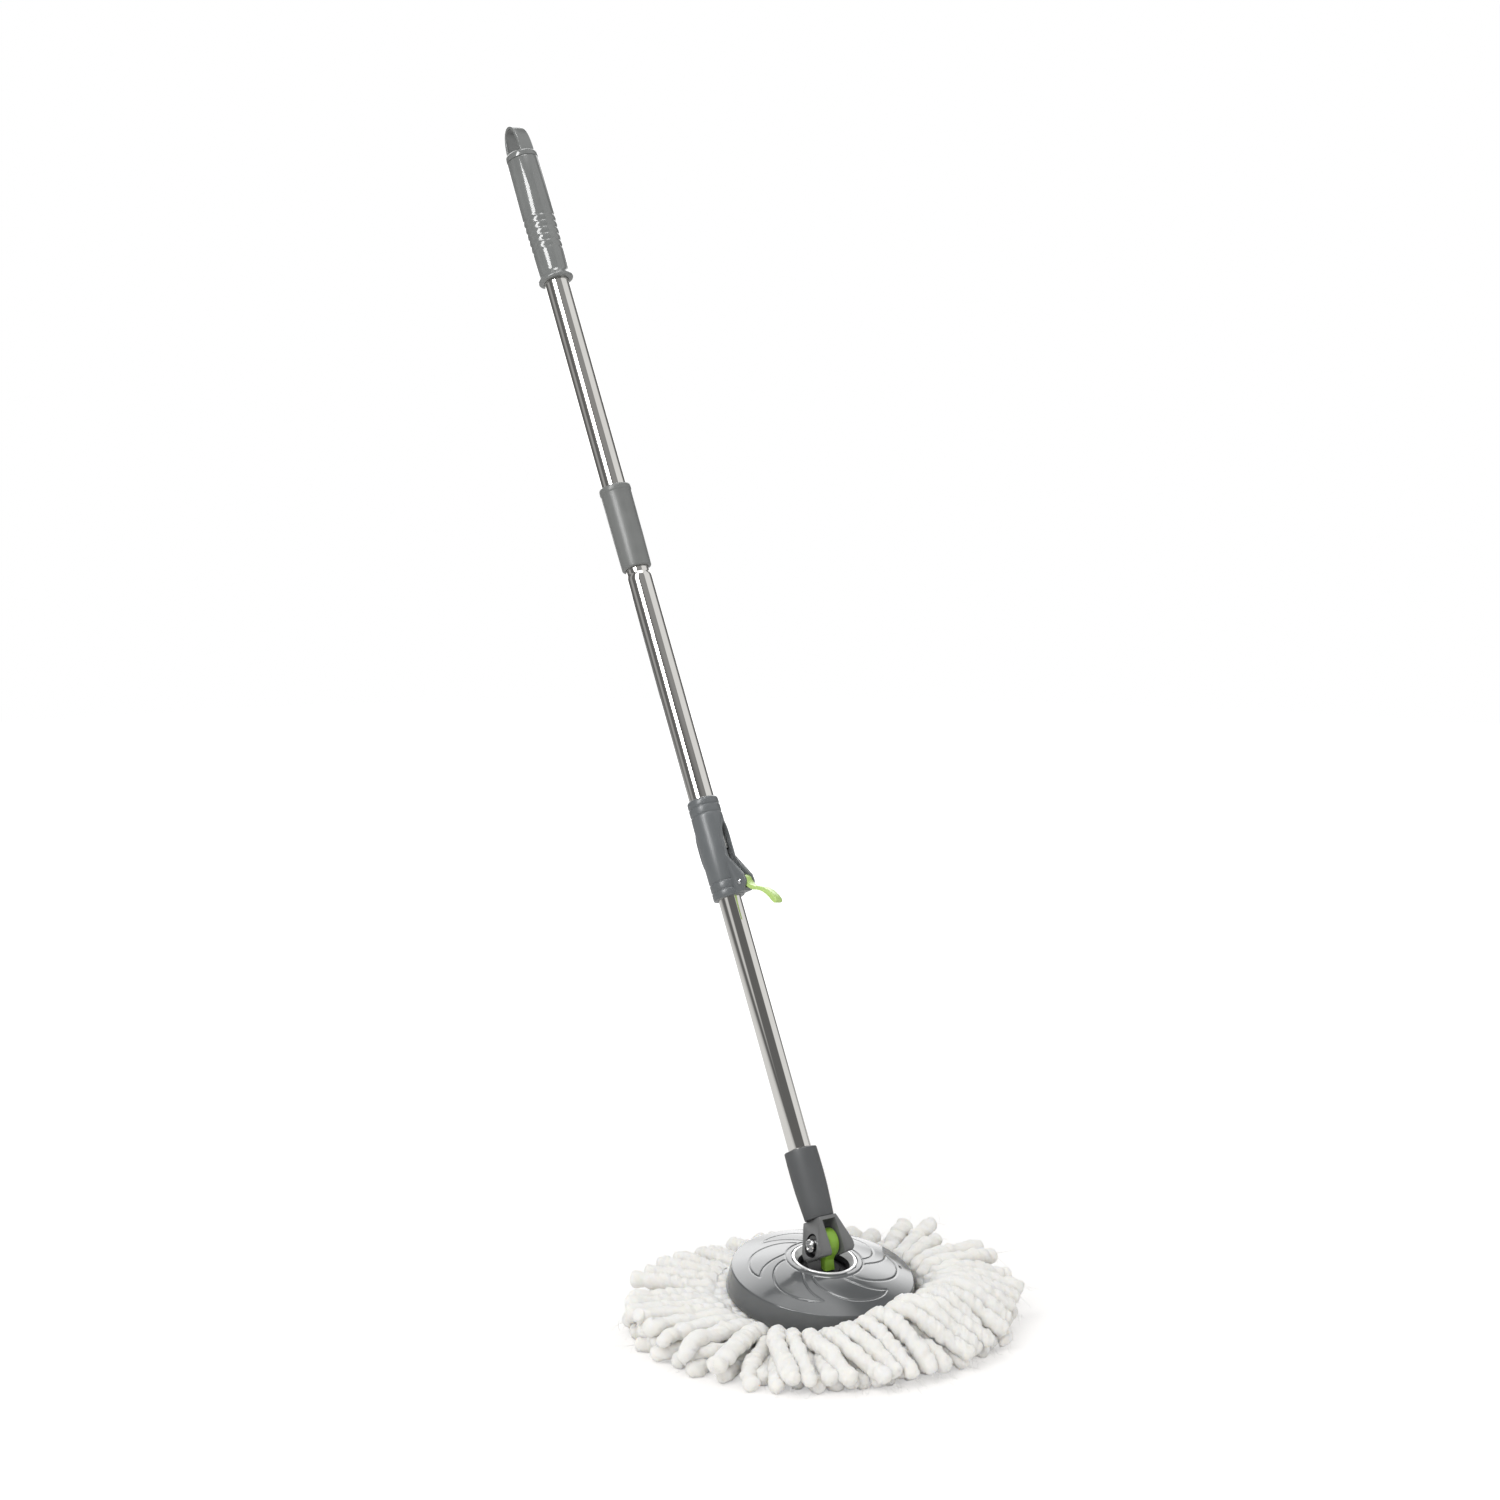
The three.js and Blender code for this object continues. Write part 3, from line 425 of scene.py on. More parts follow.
# Tubes, sleeve and socket: node, finish, body, slot, steps and a profile in mm of (radius, station).
turnedPieces = {
    "lower_tube_bright": ("lower_tube", "steel", "lower_shaft", "tube", 128, [
        (9.25, 33.3), (9.75, 33.3), (9.85, 33.5), (9.85, 391.7), (9.6, 392), (9.25, 392)]),
    "middle_tube_bright": ("middle_tube", "steel", "outer_handle", "tube", 128, [
        (10.4, 346.3), (11, 346.3), (11, 600.4), (10.92, 602.2), (10.6, 604.1), (10.25, 604.9),
        (10.15, 605.6), (10.15, 639.9), (9.55, 640), (9.55, 604.7), (10.15, 603), (10.4, 600.6)]),
    "upper_tube_bright": ("upper_tube", "steel", "outer_handle", "tube", 128, [
        (10.4, 648.3), (11, 648.3), (11, 1004), (10.4, 1004)]),
    "coupling_sleeve_moulded": ("coupling_sleeve", "sleeve", "outer_handle", "grip", 96, [
        (10.45, 610.5), (12.3, 610.5), (12.75, 610.7), (13.05, 611.2), (13.2, 612), (13.6, 640),
        (13.75, 672.1), (13.75, 681.9), (13.85, 682.5), (14.18, 683.2), (14.3, 684.1), (14.3, 686.5),
        (14.2, 687.3), (13.85, 687.9), (13.5, 688.1), (11.3, 688.1), (11.3, 648), (6.3, 648), (6.3, 641),
        (10.45, 641)]),
    "tube_socket_moulded": ("tube_socket", "socket", "lower_shaft", "socket", 96, [
        (7.3, 21), (11.9, 21), (12.3, 21.2), (12.6, 21.8), (13.4, 34), (14.1, 46), (14.35, 58), (14.3, 70),
        (14.1, 79.1), (13.9, 79.9), (13.2, 80.4), (10.15, 80.4), (10.15, 33), (7.3, 33)]),
}
for name, (node, finish, body, slot, steps, profile) in turnedPieces.items():
    fitted(spun(name, profile, steps), handlePlace, finish, body, [node])
print("tubes, sleeve and socket turned")

# A grip that swells towards its top, with a flared collar and a band of beads.
grip = {
    "foot": 891.0, "top": 1012.4, "bore": 11.3, "radius": 13.6, "swell": 1.5, "swellStart": 8,
    "swellLength": 62, "beadFoot": 920.4, "beadPitch": 6.4, "beads": 5,
    # steps of (radius, station) from the body's radius, and from the foot, each bead and the last one
    "collar": [(0.8, 0), (1.7, 0.25), (2.2, 0.8), (2.4, 1.7), (2.35, 2.5), (1.9, 3.4), (1.25, 4.6),
               (0.6, 6.4), (0.2, 8.8)],
    "bead": [(-0.16, 0.2), (-0.28, 0.7), (-0.32, 1.2), (-0.28, 1.7), (-0.14, 2.4), (0.02, 3.2),
             (0.06, 4), (0.04, 4.9), (-0.02, 5.7)],
    "last": [(-0.34, 0.5), (-0.4, 1), (-0.34, 1.5), (-0.16, 2.2), (-0.1, 3)],
    "end": [(-0.25, -0.9), (-0.4, -0.3), (-0.8, 0)],
}


def gripProfile():
    def steps(key, station):
        return [(grip["radius"] + r, station + z) for r, z in grip[key]]

    beads = [grip["beadFoot"] + bead * grip["beadPitch"] for bead in range(grip["beads"] + 1)]
    outline = [(grip["bore"], grip["foot"]), *steps("collar", grip["foot"]),
               (grip["radius"] + 0.05, grip["beadFoot"] - 2)]
    for station in beads[:-1]:
        outline += steps("bead", station)
    outline += [*steps("last", beads[-1]), *steps("end", grip["top"]), (grip["bore"], grip["top"])]
    start, length = grip["foot"] + grip["swellStart"], grip["swellLength"]
    return [(r + grip["swell"] * min(1, max(0, (z - start) / length)) * (r > 12), z) for r, z in outline]


piece = spun("grip_moulded", gripProfile())
fitted(piece, handlePlace, "grip", "outer_handle", ["grip_sleeve"])

# Moulded pieces taken from their CAD solids: node, bevel, finish, body and slot.
mouldings = {
    "yoke_moulded": ("yoke", 0.6, "yoke", "lower_shaft", "yoke"),
    "swivel_tongue_moulded": ("swivel_tongue", 0.7, "green", "mop_head", "tongue"),
    "cam_lever_moulded": ("cam_lever", 0.7, "lime", "lock_lever", "lever"),
}
neck = {"front": -6.4, "under": -12.6, "keep": 0.5, "lean": 0.36}  # tongue's neck, slim and leaning
# painted shade: the recess round the bolt's head and nut is painted black, standing in for the shade in it
recess = {"wall": 9.2, "radius": 9.75, "floor": (10.8, 11.3)}  # dark round the bolt's head and nut


def inPaintedShadeRecess(spot):
    reach = hypot(spot.y, spot.z)
    onFloor = recess["floor"][0] < abs(spot.x) < recess["floor"][1]
    return reach < recess["radius"] and (reach > recess["wall"] or onFloor)


for name, (node, radius, finish, body, slot) in mouldings.items():
    piece = fromNode(name, node)
    if node == "swivel_tongue":
        toDisc = discPlace.inverted()
        for vertex in piece.data.vertices:
            spot = toDisc @ vertex.co / mm
            if spot.z < neck["under"]:
                spot.y = neck["front"] + (spot.y - neck["front"]) * neck["keep"]
                spot.y -= neck["lean"] * (neck["under"] - spot.z)
                vertex.co = discPlace @ (spot * mm)
    softenEdges(piece, radius)
    finished(piece, finishes[finish], body, [node])
    if node == "yoke":
        # painted shade: the recess faces get the black finish
        paintFaces(piece, finishes["black"], boltPlace, inPaintedShadeRecess)
print("mouldings rounded:", len(mouldings))


# A flat outline drawn point by point, filled and pushed through: along X it holds (y, z), along Y (x, z).
def plate(name, outline, along, low, high, steps=1):
    def turn(point, depth):
        return (depth, *point) if along == "X" else (point[0], depth, point[1])

    corners = [Vector(turn(point, low)) * mm for point in outline]
    piece = startPiece(name)
    drawLine(corners[0], [there - here for here, there in zip(corners, corners[1:])])
    bpy.ops.mesh.edge_face_add()
    push = Vector(turn((0, 0), (high - low) / steps)) * mm
    for _ in range(steps):
        bpy.ops.mesh.extrude_region_move(TRANSFORM_OT_translate={"value": push})
    bpy.ops.mesh.select_all(action="SELECT")
    faceOutward()
    return piece


def combine(piece, other, operation):
    applyModifier(piece, "BOOLEAN", object=other, operation=operation, solver="EXACT")
    bpy.data.objects.remove(other)


def drill(piece, sides, radius, depth, place, tilt=0):
    bpy.ops.mesh.primitive_cylinder_add(vertices=sides, radius=radius * mm, depth=depth * mm,
                                        location=[length * mm for length in place], rotation=(tilt, 0, 0))
    combine(piece, bpy.context.object, "DIFFERENCE")


# Hanging cap: collar with a broad strap that arches over and is crowned across its width.
cap = {"foot": 1012.7, "shoulder": 1018.0, "radius": 14.75, "spigot": 10.1, "spigotLength": 22.7,
       "loopHalf": 12.9, "loopHeight": 30.2, "strap": 2.8, "strapHalf": 7.0, "strapEdge": 0.9, "sink": 1.5,
       "crown": 0.03, "waist": 0.06, "fullness": 0.93}


def arch(inset, foot):
    full = cap["fullness"]
    bow = [((cap["loopHalf"] - inset) * np.sign(round(cos(a), 9)) * abs(cos(a)) ** full,
            cap["shoulder"] + (cap["loopHeight"] - inset) * abs(sin(a)) ** full)
           for a in np.radians(np.arange(180, -1, -6))]
    return [(inset - cap["loopHalf"], foot), *bow, (cap["loopHalf"] - inset, foot)]


foot, shoulder, radius = cap["foot"], cap["shoulder"], cap["radius"]
spigot, spigotEnd = cap["spigot"], foot - cap["spigotLength"]
piece = spun("hanger_cap_moulded", [
    (0, spigotEnd), (spigot - 0.7, spigotEnd), (spigot, spigotEnd + 1), (spigot, foot),
    (radius - 0.4, foot), (radius - 0.1, foot + 0.15), (radius, foot + 0.5), (radius, shoulder - 0.9),
    (radius - 0.15, shoulder - 0.4), (radius - 0.9, shoulder + 0.6), (radius - 2, shoulder + 1.4),
    (8.6, shoulder + 4.2), (6.5, shoulder + 4.6), (0, shoulder + 4.8)], 96, closed=False)
outside, inside = arch(0, shoulder - cap["sink"]), arch(cap["strap"], shoulder - cap["sink"])
strap = plate("strap", [*outside, *inside[::-1]], "X", -cap["strapHalf"], cap["strapHalf"], 10)
for vertex in strap.data.vertices:
    rise = max(0, vertex.co.z / mm - shoulder) / cap["loopHeight"]
    across = vertex.co.x / mm / cap["strapHalf"]
    vertex.co.z -= rise * cap["crown"] * abs(across) ** 2.5 * cap["loopHeight"] * mm
    vertex.co.x *= 1 - cap["waist"] * rise ** 2
bevelled(strap, cap["strapEdge"], 4, 50)
combine(piece, strap, "UNION")
fitted(piece, handlePlace, "grip", "outer_handle", ["hanger_cap"])
print("hanging cap made")

# Quick lock: ringed shell, raised rims round the slot and at the back, two ears for the lever.
lock = {
    "foot": 304, "top": 393.8, "shoulder": 346, "bore": 10.15, "tubeBore": 11.3, "radius": 14.05,
    "lever": (18.6, 312.8), "earHalf": 7.2, "earRadius": 6.8, "slotHalf": 5.2, "slotFoot": 306.5,
    "slotShoulder": 353, "slotTop": 369.5, "rim": 1.6, "rimHeight": 1.0, "rimFoot": 15, "rimTop": 16,
    "backRim": (7.4, 27, 38),  # half width, height above the foot, length
    "edge": 0.5, "pinHole": 1.9,
}


def lockGrooves(stations, radius, depth):
    side = [(1.15, 0), (0.85, 0.12), (0.5, 0.75), (0.15, 1)]
    shape = [*[(-offset, share) for offset, share in side], *side[::-1]]
    return [(radius - depth * share, z + offset) for z in stations for offset, share in shape]


def pointedSlot(half, foot, top):  # straight sides that close to a point at the top
    side = [(half * (1 - (k / 14) ** 2.3), lock["slotShoulder"] + (top - lock["slotShoulder"]) * k / 14)
            for k in range(15)]
    return [(-half, foot), (half, foot), *side, *[(-y, z) for y, z in side[-2::-1]]]


foot, top, radius = lock["foot"], lock["top"], lock["radius"]
lockBody = spun("lock_body_moulded", [
    (lock["bore"], foot), (radius - 0.95, foot), (radius - 0.5, foot + 0.2), (radius - 0.2, foot + 0.8),
    *lockGrooves((foot + 7, foot + 14.4), radius - 0.2, 0.62), (radius, lock["shoulder"] + 4),
    (radius - 0.25, top - 17.8), *lockGrooves((top - 14.2, top - 6.7), radius - 0.3, 0.65),
    (radius - 0.4, top - 2), (radius - 0.75, top - 0.9), (radius - 1.3, top - 0.25), (radius - 1.9, top),
    (lock["tubeBore"], top), (lock["tubeBore"], lock["shoulder"]), (lock["bore"], lock["shoulder"])], 128)
slotHalf = lock["slotHalf"]
leverX, leverZ = lock["lever"]
half, start, length = lock["backRim"]
backRim = [(half * max(0, sin(pi * k / 24)) ** 0.7, foot + start + length * k / 24)
           for k in range(25)]
inner, outer = 12.6, radius + lock["rimHeight"]
low, high = foot + lock["rimFoot"], top - lock["rimTop"]
for name, outline, near, far in (
        ("front_rim", pointedSlot(slotHalf + lock["rim"], low + 1, lock["slotTop"] + 3.2), 3, 20),
        ("back_rim", [*backRim, *[(-y, z) for y, z in backRim[-2:0:-1]]], -20, -3)):
    ring = spun(name, [(inner, low), (outer, low), (outer, high), (inner, high)], 128)
    combine(ring, plate(name + "_outline", outline, "X", near, far), "INTERSECT")
    bevelled(ring, lock["edge"], 3, 50)
    combine(lockBody, ring, "UNION")
earArc = [(leverX + lock["earRadius"] * cos(radians(a)),
           leverZ + lock["earRadius"] * sin(radians(a))) for a in range(22, -66, -8)]
ears = plate("ears", [(11.6, leverZ + 29), (24.45, leverZ + 5.5), (24.9, leverZ + 4.6), *earArc,
                      (19.8, foot + 0.6), (11.6, foot + 0.6)], "Y", -lock["earHalf"], lock["earHalf"])
bevelled(ears, lock["edge"], 3, 50)
combine(lockBody, ears, "UNION")
slot = plate("slot", pointedSlot(slotHalf, lock["slotFoot"], lock["slotTop"]), "X", 3, 40)
combine(lockBody, slot, "DIFFERENCE")
drill(lockBody, 32, lock["pinHole"], 30, (leverX, 0, leverZ), pi / 2)
fitted(lockBody, lockPlace, "lock", "outer_handle", ["lock_body"], 0.22, 48)

# Lever pin with domed heads.
piece = spun("lever_pin_turned", [
    (0, -8.5), (0.9, -8.4), (1.7, -8.0), (2.3, -7.35), (1.6, -7.35), (1.6, 7.35), (2.3, 7.35), (1.7, 8.0),
    (0.9, 8.4), (0, 8.5)], 40, closed=False)
pinPlace = lockPlace @ Matrix.Translation((leverX * mm, 0, leverZ * mm))
pinPlace = pinPlace @ Matrix.Rotation(pi / 2, 4, "X")
fitted(piece, pinPlace, "zinc", "outer_handle", ["lever_pin"])
print("lock body and pin made")

# Disc: dome with comma-shaped grooves, skirt and seat. Grooves are points of (radius, degrees).
disc = {
    "seat": (28.4, -14.9), "rim": (76.4, -27.1), "arch": 1.32, "rings": 104, "steps": 640,
    "petals": 6, "grooveWidth": 0.72, "grooveDepth": 0.62, "collarGroove": 32.6,
    "outer": [(32.6, 98), (36, 99.5), (44, 109), (52.3, 122), (58.5, 134), (61.5, 144), (63.3, 156.6),
              (63, 167), (61, 174.5)],
    "inner": [(61, 174.5), (53.5, 164), (44.3, 153.9), (37, 146), (32.6, 139.5)],
    "catch": (67.2, -22, 5.2, 2.2), "catchDepth": 0.9,  # radius, degrees, width, length along the radius
}


def domeHeight(radius):
    share = np.clip((radius - disc["seat"][0]) / (disc["rim"][0] - disc["seat"][0]), 0, 1)
    return disc["seat"][1] + (disc["rim"][1] - disc["seat"][1]) * share ** disc["arch"]


def smoothLine(points, pieces=10):  # a curve through all the points
    points = np.array(points, float)
    longer = np.vstack([2 * points[0] - points[1], points, 2 * points[-1] - points[-2]])
    t = np.linspace(0, 1, pieces, endpoint=False)[:, None]
    line = []
    for a, b, c, d in zip(longer, longer[1:], longer[2:], longer[3:]):
        line.append(0.5 * (2 * b + (c - a) * t + (2 * a - 5 * b + 4 * c - d) * t ** 2
                           + (3 * b - a - 3 * c + d) * t ** 3))
    return np.vstack([*line, points[-1:]])


def distanceTo(line, x, y):
    best = np.full(x.shape, 1e9)
    for (ax, ay), (bx, by) in zip(line, line[1:]):
        dx, dy = bx - ax, by - ay
        t = np.clip(((x - ax) * dx + (y - ay) * dy) / (dx * dx + dy * dy), 0, 1)
        best = np.minimum(best, np.hypot(x - ax - t * dx, y - ay - t * dy))
    return best


radii = np.linspace(disc["seat"][0], disc["rim"][0], disc["rings"])
dome = [(float(r), float(domeHeight(r))) for r in radii]
under = [(float(r), float(domeHeight(r)) - 2.2) for r in np.linspace(74.2, 30, 14)]
piece = spun("disc_cover_moulded", [
    *dome, (76.75, -27.3), (77.05, -27.7), (77.25, -28.4), (79.2, -41), (80, -45.9), (79.9, -46.5),
    (79.5, -46.9), (77.6, -46.9), (77.3, -46.5), (75.4, -30.1), *under,
    (23.6, -25.2), (21.6, -25.2), (27.4, -16.2), (28.4, -16.2)], disc["steps"])
count = len(piece.data.vertices)
coords = np.zeros(count * 3)
piece.data.vertices.foreach_get("co", coords)
coords = coords.reshape(-1, 3) / mm
around = np.hypot(coords[:, 0], coords[:, 1])
onDome = (around > 29) & (around < 76) & (np.abs(coords[:, 2] - domeHeight(around)) < 0.05)
r, angle = around[onDome], np.degrees(np.arctan2(coords[onDome, 1], coords[onDome, 0]))
pitch = 360 / disc["petals"]
nearest = np.abs(r - disc["collarGroove"])
for curve in ("outer", "inner"):
    polar = smoothLine(disc[curve])
    middle = float(polar[:, 1].mean())
    line = [(a * cos(radians(b - middle)), a * sin(radians(b - middle)))
            for a, b in polar]
    turned = np.radians((angle - middle + pitch / 2) % pitch - pitch / 2)
    for shift in (-radians(pitch), 0, radians(pitch)):
        away = distanceTo(line, r * np.cos(turned + shift), r * np.sin(turned + shift))
        nearest = np.minimum(nearest, away)
press = disc["grooveDepth"] * np.exp(-(nearest / disc["grooveWidth"]) ** 2)
catchRadius, catchAngle, wide, long = disc["catch"]
offset = np.radians(angle - catchAngle) * catchRadius
inCatch = np.clip((wide / 2 - np.abs(offset)) / 0.5, 0, 1)
inCatch *= np.clip((long / 2 - np.abs(r - catchRadius)) / 0.5, 0, 1)
coords[onDome, 2] -= np.maximum(press, disc["catchDepth"] * inCatch)
piece.data.vertices.foreach_set("co", (coords * mm).ravel())
piece.data.update()
fitted(piece, discPlace, "disc", "mop_head", ["disc_cover"])
print("disc turned, grooves pressed")

# Bezel and the dark pieces in its well: node, finish, slot, steps and profile of (radius, height).
# painted shade: inside this radius the chrome bezel's cone is painted black, standing in for the shade in the
# well
paintedShadeInside = 21.6  # the bezel's cone is black inside this radius
well = {
    "chrome_bezel_turned": ("chrome_bezel", "chrome", "bezel", 128, [
        (27.4, -15.6), (27.4, -14.9), (27.25, -14.55), (26.9, -14.35), (26.4, -14.25), (25.6, -14.3),
        (25.1, -14.6), (24.6, -15.3), (21.9, -19.38), (20.1, -22.1), (19.8, -22.9), (19.8, -24.2),
        (20.7, -24.2), (26, -15.7)]),
    "hub_cup_moulded": ("hub_cup", "black", "hub", 96, [
        (6.3, -26.9), (25.8, -26.9), (25.8, -25.6), (19.9, -25.6), (19.9, -24.7), (19.5, -24.5),
        (15.4, -24.5), (15.2, -24.7), (14.9, -24.7), (14.7, -24.5), (6.3, -24.5)]),
    "swivel_base_moulded": ("swivel_base", "black", "hub", 72, [
        (0, -30), (5.8, -30), (6, -29.8), (6, -24.2), (13.8, -24.2), (14, -24), (14, -22.8), (13.8, -22.3),
        (13.2, -21.9), (0, -21.9)]),
}
for name, (node, finish, slot, steps, profile) in well.items():
    piece = spun(name, profile, steps, closed=profile[0][0] > 0)
    fitted(piece, discPlace, finish, "mop_head", [node])
    if node == "chrome_bezel":
        # painted shade in the well: the lower cone gets the black finish
        paintFaces(piece, finishes["black"], discPlace,
                   lambda spot: hypot(spot.x, spot.y) < paintedShadeInside)
print("bezel, hub and swivel base turned")

# Pivot bolt with a socket head, along its own axis.
bolt = {"seat": 12.9, "face": 17.9, "head": 5.5, "shank": 2.9, "end": -18.5, "hex": 2.6, "hexDepth": 3}
seat, face, head, shank, end = (bolt[key] for key in ("seat", "face", "head", "shank", "end"))
piece = spun("pivot_bolt_turned", [
    (0, end), (2.4, end), (shank, end + 0.5), (shank, seat), (head - 0.1, seat), (head, seat + 0.1),
    (head, face - 0.8), (head - 0.25, face - 0.35), (head - 0.8, face), (4.0, face),
    (3.85, face - 0.25), (3.55, face - 0.3), (3.4, face - 0.05), (0, face)], 64, closed=False)
drill(piece, 6, bolt["hex"], 2 * bolt["hexDepth"], (0, 0, face))
boltTurned = handlePlace @ Matrix.Rotation(-pi / 2, 4, "Y")
fitted(piece, boltTurned, "bolt", "lower_shaft", ["pivot_bolt"], 0.12)

# The pieces that keep their CAD shape, by finish.
carried = {
    "under": ["base_plate"],
    "nylon": ["refill_ring", "pivot_washer_left", "pivot_washer_right", "clutch_cup", "drive_nut",
              "guide_bush", "rod_anchor", "joint_plug"],
    "zinc": ["hub_washer", "hub_screw", "cover_screw_1", "cover_screw_2", "cover_screw_3", "pivot_nut",
             "socket_rivet", "nut_retainer", "rod_stop"],
    "washer": ["bolt_washer"],
    "rod": ["twisted_rod"],
    "rubber": ["brake_pad"],
}
for finish, names in carried.items():
    for node in names:
        for slot in nodes[node].material_slots:
            slot.material = finishes[finish]
print("carried nodes finished:", sum(len(names) for names in carried.values()))

# Fibre head: three layers of yarn strands, settled against each other, the floor and the disc.
yarn = {
    "seed": 11, "perLayer": 45, "radius": 7.1, "nodes": 25, "farthest": 175, "widest": 162, "root": 60,
    "sides": 18, "ringStep": 1.4, "plyPitch": 22, "plyOffset": 0.135, "plyRadius": 0.90, "fuzz": 44,
    "knotStep": 4.6, "knots": 0.09, "fluff": 0.035,
    "skirt": (80, 27.1),  # radius and height of the disc's lower edge
    "fan": (78, 85, 1.3),  # strands turn aside from this radius on, over this length, by this power
    "swell": (0.05, 31), "wander": (1.1, 13),  # thick and thin along a strand, uneven winding of its plies
    # degrees round the head: top of the heap by the skirt, then the outer ends' reach, turn and height
    "crest": [(-180, 37), (-150, 37), (-124, 43), (-106, 55), (-90, 61), (-60, 61), (-34, 55), (0, 53),
              (30, 50), (60, 43), (100, 40), (146, 37), (180, 37)],
    "reach": [(-180, 177), (-165, 175), (-150, 167), (-120, 157), (-90, 155), (-60, 158), (-34, 164),
              (0, 160), (40, 152), (90, 150), (130, 168), (180, 177)],
    "swing": [(-180, -3), (-168, -5), (-160, 1), (-150, 12), (-135, 19), (-110, 18), (-85, 15), (-65, 11),
              (-45, 7), (-20, 3), (0, 0), (120, 0), (180, -3)],
    "endRise": [(-180, 23), (-165, 16), (-150, 9), (-120, 4), (-90, 5), (-60, 13), (-34, 26), (0, 30),
                (40, 26), (90, 24), (140, 26), (180, 23)],
    # strands that stand up at the back: degrees at the disc, then degrees, reach and height of the end
    "standing": [(2, 1, 124, 52), (10, 9, 131, 63), (20, 17, 117, 61), (34, 33, 118, 42),
                 (42, 42, 124, 40), (-9, -5, 154, 45), (-17, -14, 158, 42)],
}
# How the strands settle: pulls toward the drawn path, sag per round, and how they push and bend.
settling = {
    "rounds": 150, "pullTop": 0.05, "pullUnder": 0.02, "pullStanding": 0.3, "pullRoot": 0.5,
    "rootNodes": 4, "sag": 0.12, "near": 17, "closeness": 0.87, "push": 0.32, "bend": 0.08,
    "skirtHeights": [-46.9, -27.1, -24, -15], "skirtRadii": [80, 76.6, 68, 30], "skirtFoot": 47.6,
    "skirtEdge": -47.5, "skirtShare": 0.96, "skirtPush": 0.7, "floorShare": 0.86, "floorGap": 0.3,
    "freeNode": 6,  # nodes up to this one lie under the skirt
}
dice = np.random.default_rng(yarn["seed"])


def roundTable(table, angle):
    degrees = (np.degrees(angle) + 180) % 360 - 180
    return np.interp(degrees, [row[0] for row in table], [row[1] for row in table])


def strandPaths():  # each strand from under the skirt, over the heap and down to its end
    paths, standing = [], []
    lean = sin(radians(layout["discTip"]))
    skirtRadius, skirtHeight = yarn["skirt"]
    fanStart, fanLength, power = yarn["fan"]
    for layer in range(3):
        for index in range(yarn["perLayer"]):
            angle = 2 * pi * (index + 0.5 * layer + dice.uniform(-0.16, 0.16)) / yarn["perLayer"]
            skirt = skirtHeight + skirtRadius * lean * sin(angle)
            crest = float(roundTable(yarn["crest"], angle)) - yarn["radius"] + dice.uniform(-1.5, 2)
            reach = float(roundTable(yarn["reach"], angle)) + dice.uniform(-7, 2)
            rise = float(roundTable(yarn["endRise"], angle)) + 6
            swing = radians(float(roundTable(yarn["swing"], angle)) + dice.normal(0, 4.0))
            root = skirt - 6 - 5 * layer * skirt / 40
            if layer == 0:
                spots = [(yarn["root"], root), (74, root), (82, skirt - 1),
                         (88, 0.45 * crest + 0.55 * skirt), (92, crest - 5), (100, crest), (116, crest - 2),
                         (0.5 * (116 + reach), 0.55 * crest + 0.45 * rise), (reach, rise)]
                for degrees, endDegrees, far, high in yarn["standing"]:
                    if index == round(degrees * yarn["perLayer"] / 360) % yarn["perLayer"]:
                        spots = [(yarn["root"], root), (74, root), (82, skirt), (87, 0.5 * (crest + skirt)),
                                 (91, crest - 4), (0.5 * (91 + far), 0.5 * (crest + high)), (far, high)]
                        angle = radians(degrees)
                        share = np.clip((far - fanStart) / fanLength, 0.1, 1)
                        swing = radians(endDegrees - degrees) / share ** power
                        standing.append(len(paths))
            elif layer == 1:
                middle = 0.66 * crest + 2
                spots = [(yarn["root"], root), (76, root), (87, 0.4 * skirt + 0.5 * middle), (98, middle),
                         (114, middle), (0.5 * (114 + reach), 0.6 * middle + 0.2 * rise),
                         (reach - dice.uniform(0, 10), 7 + 0.35 * (rise - 6))]
            else:
                spots = [(yarn["root"], max(root, 5)), (80, max(root - 4, 6)), (96, 7), (125, 6),
                         (reach - dice.uniform(2, 16), 6)]
            line = smoothLine(spots, 12)
            walked = np.concatenate([[0], np.cumsum(np.hypot(*np.diff(line, axis=0).T))])
            even = np.linspace(0, walked[-1], yarn["nodes"])
            radial = np.interp(even, walked, line[:, 0])
            height = np.interp(even, walked, line[:, 1])
            share = np.clip((radial - fanStart) / fanLength, 0, 1)
            wave = radians(1.6) * np.sin(share * dice.uniform(3, 7) + dice.uniform(0, 6))
            turn = angle + swing * share ** power + wave * share
            paths.append(np.stack([radial * np.cos(turn), radial * np.sin(turn), height], axis=1))
    return np.array(paths), standing


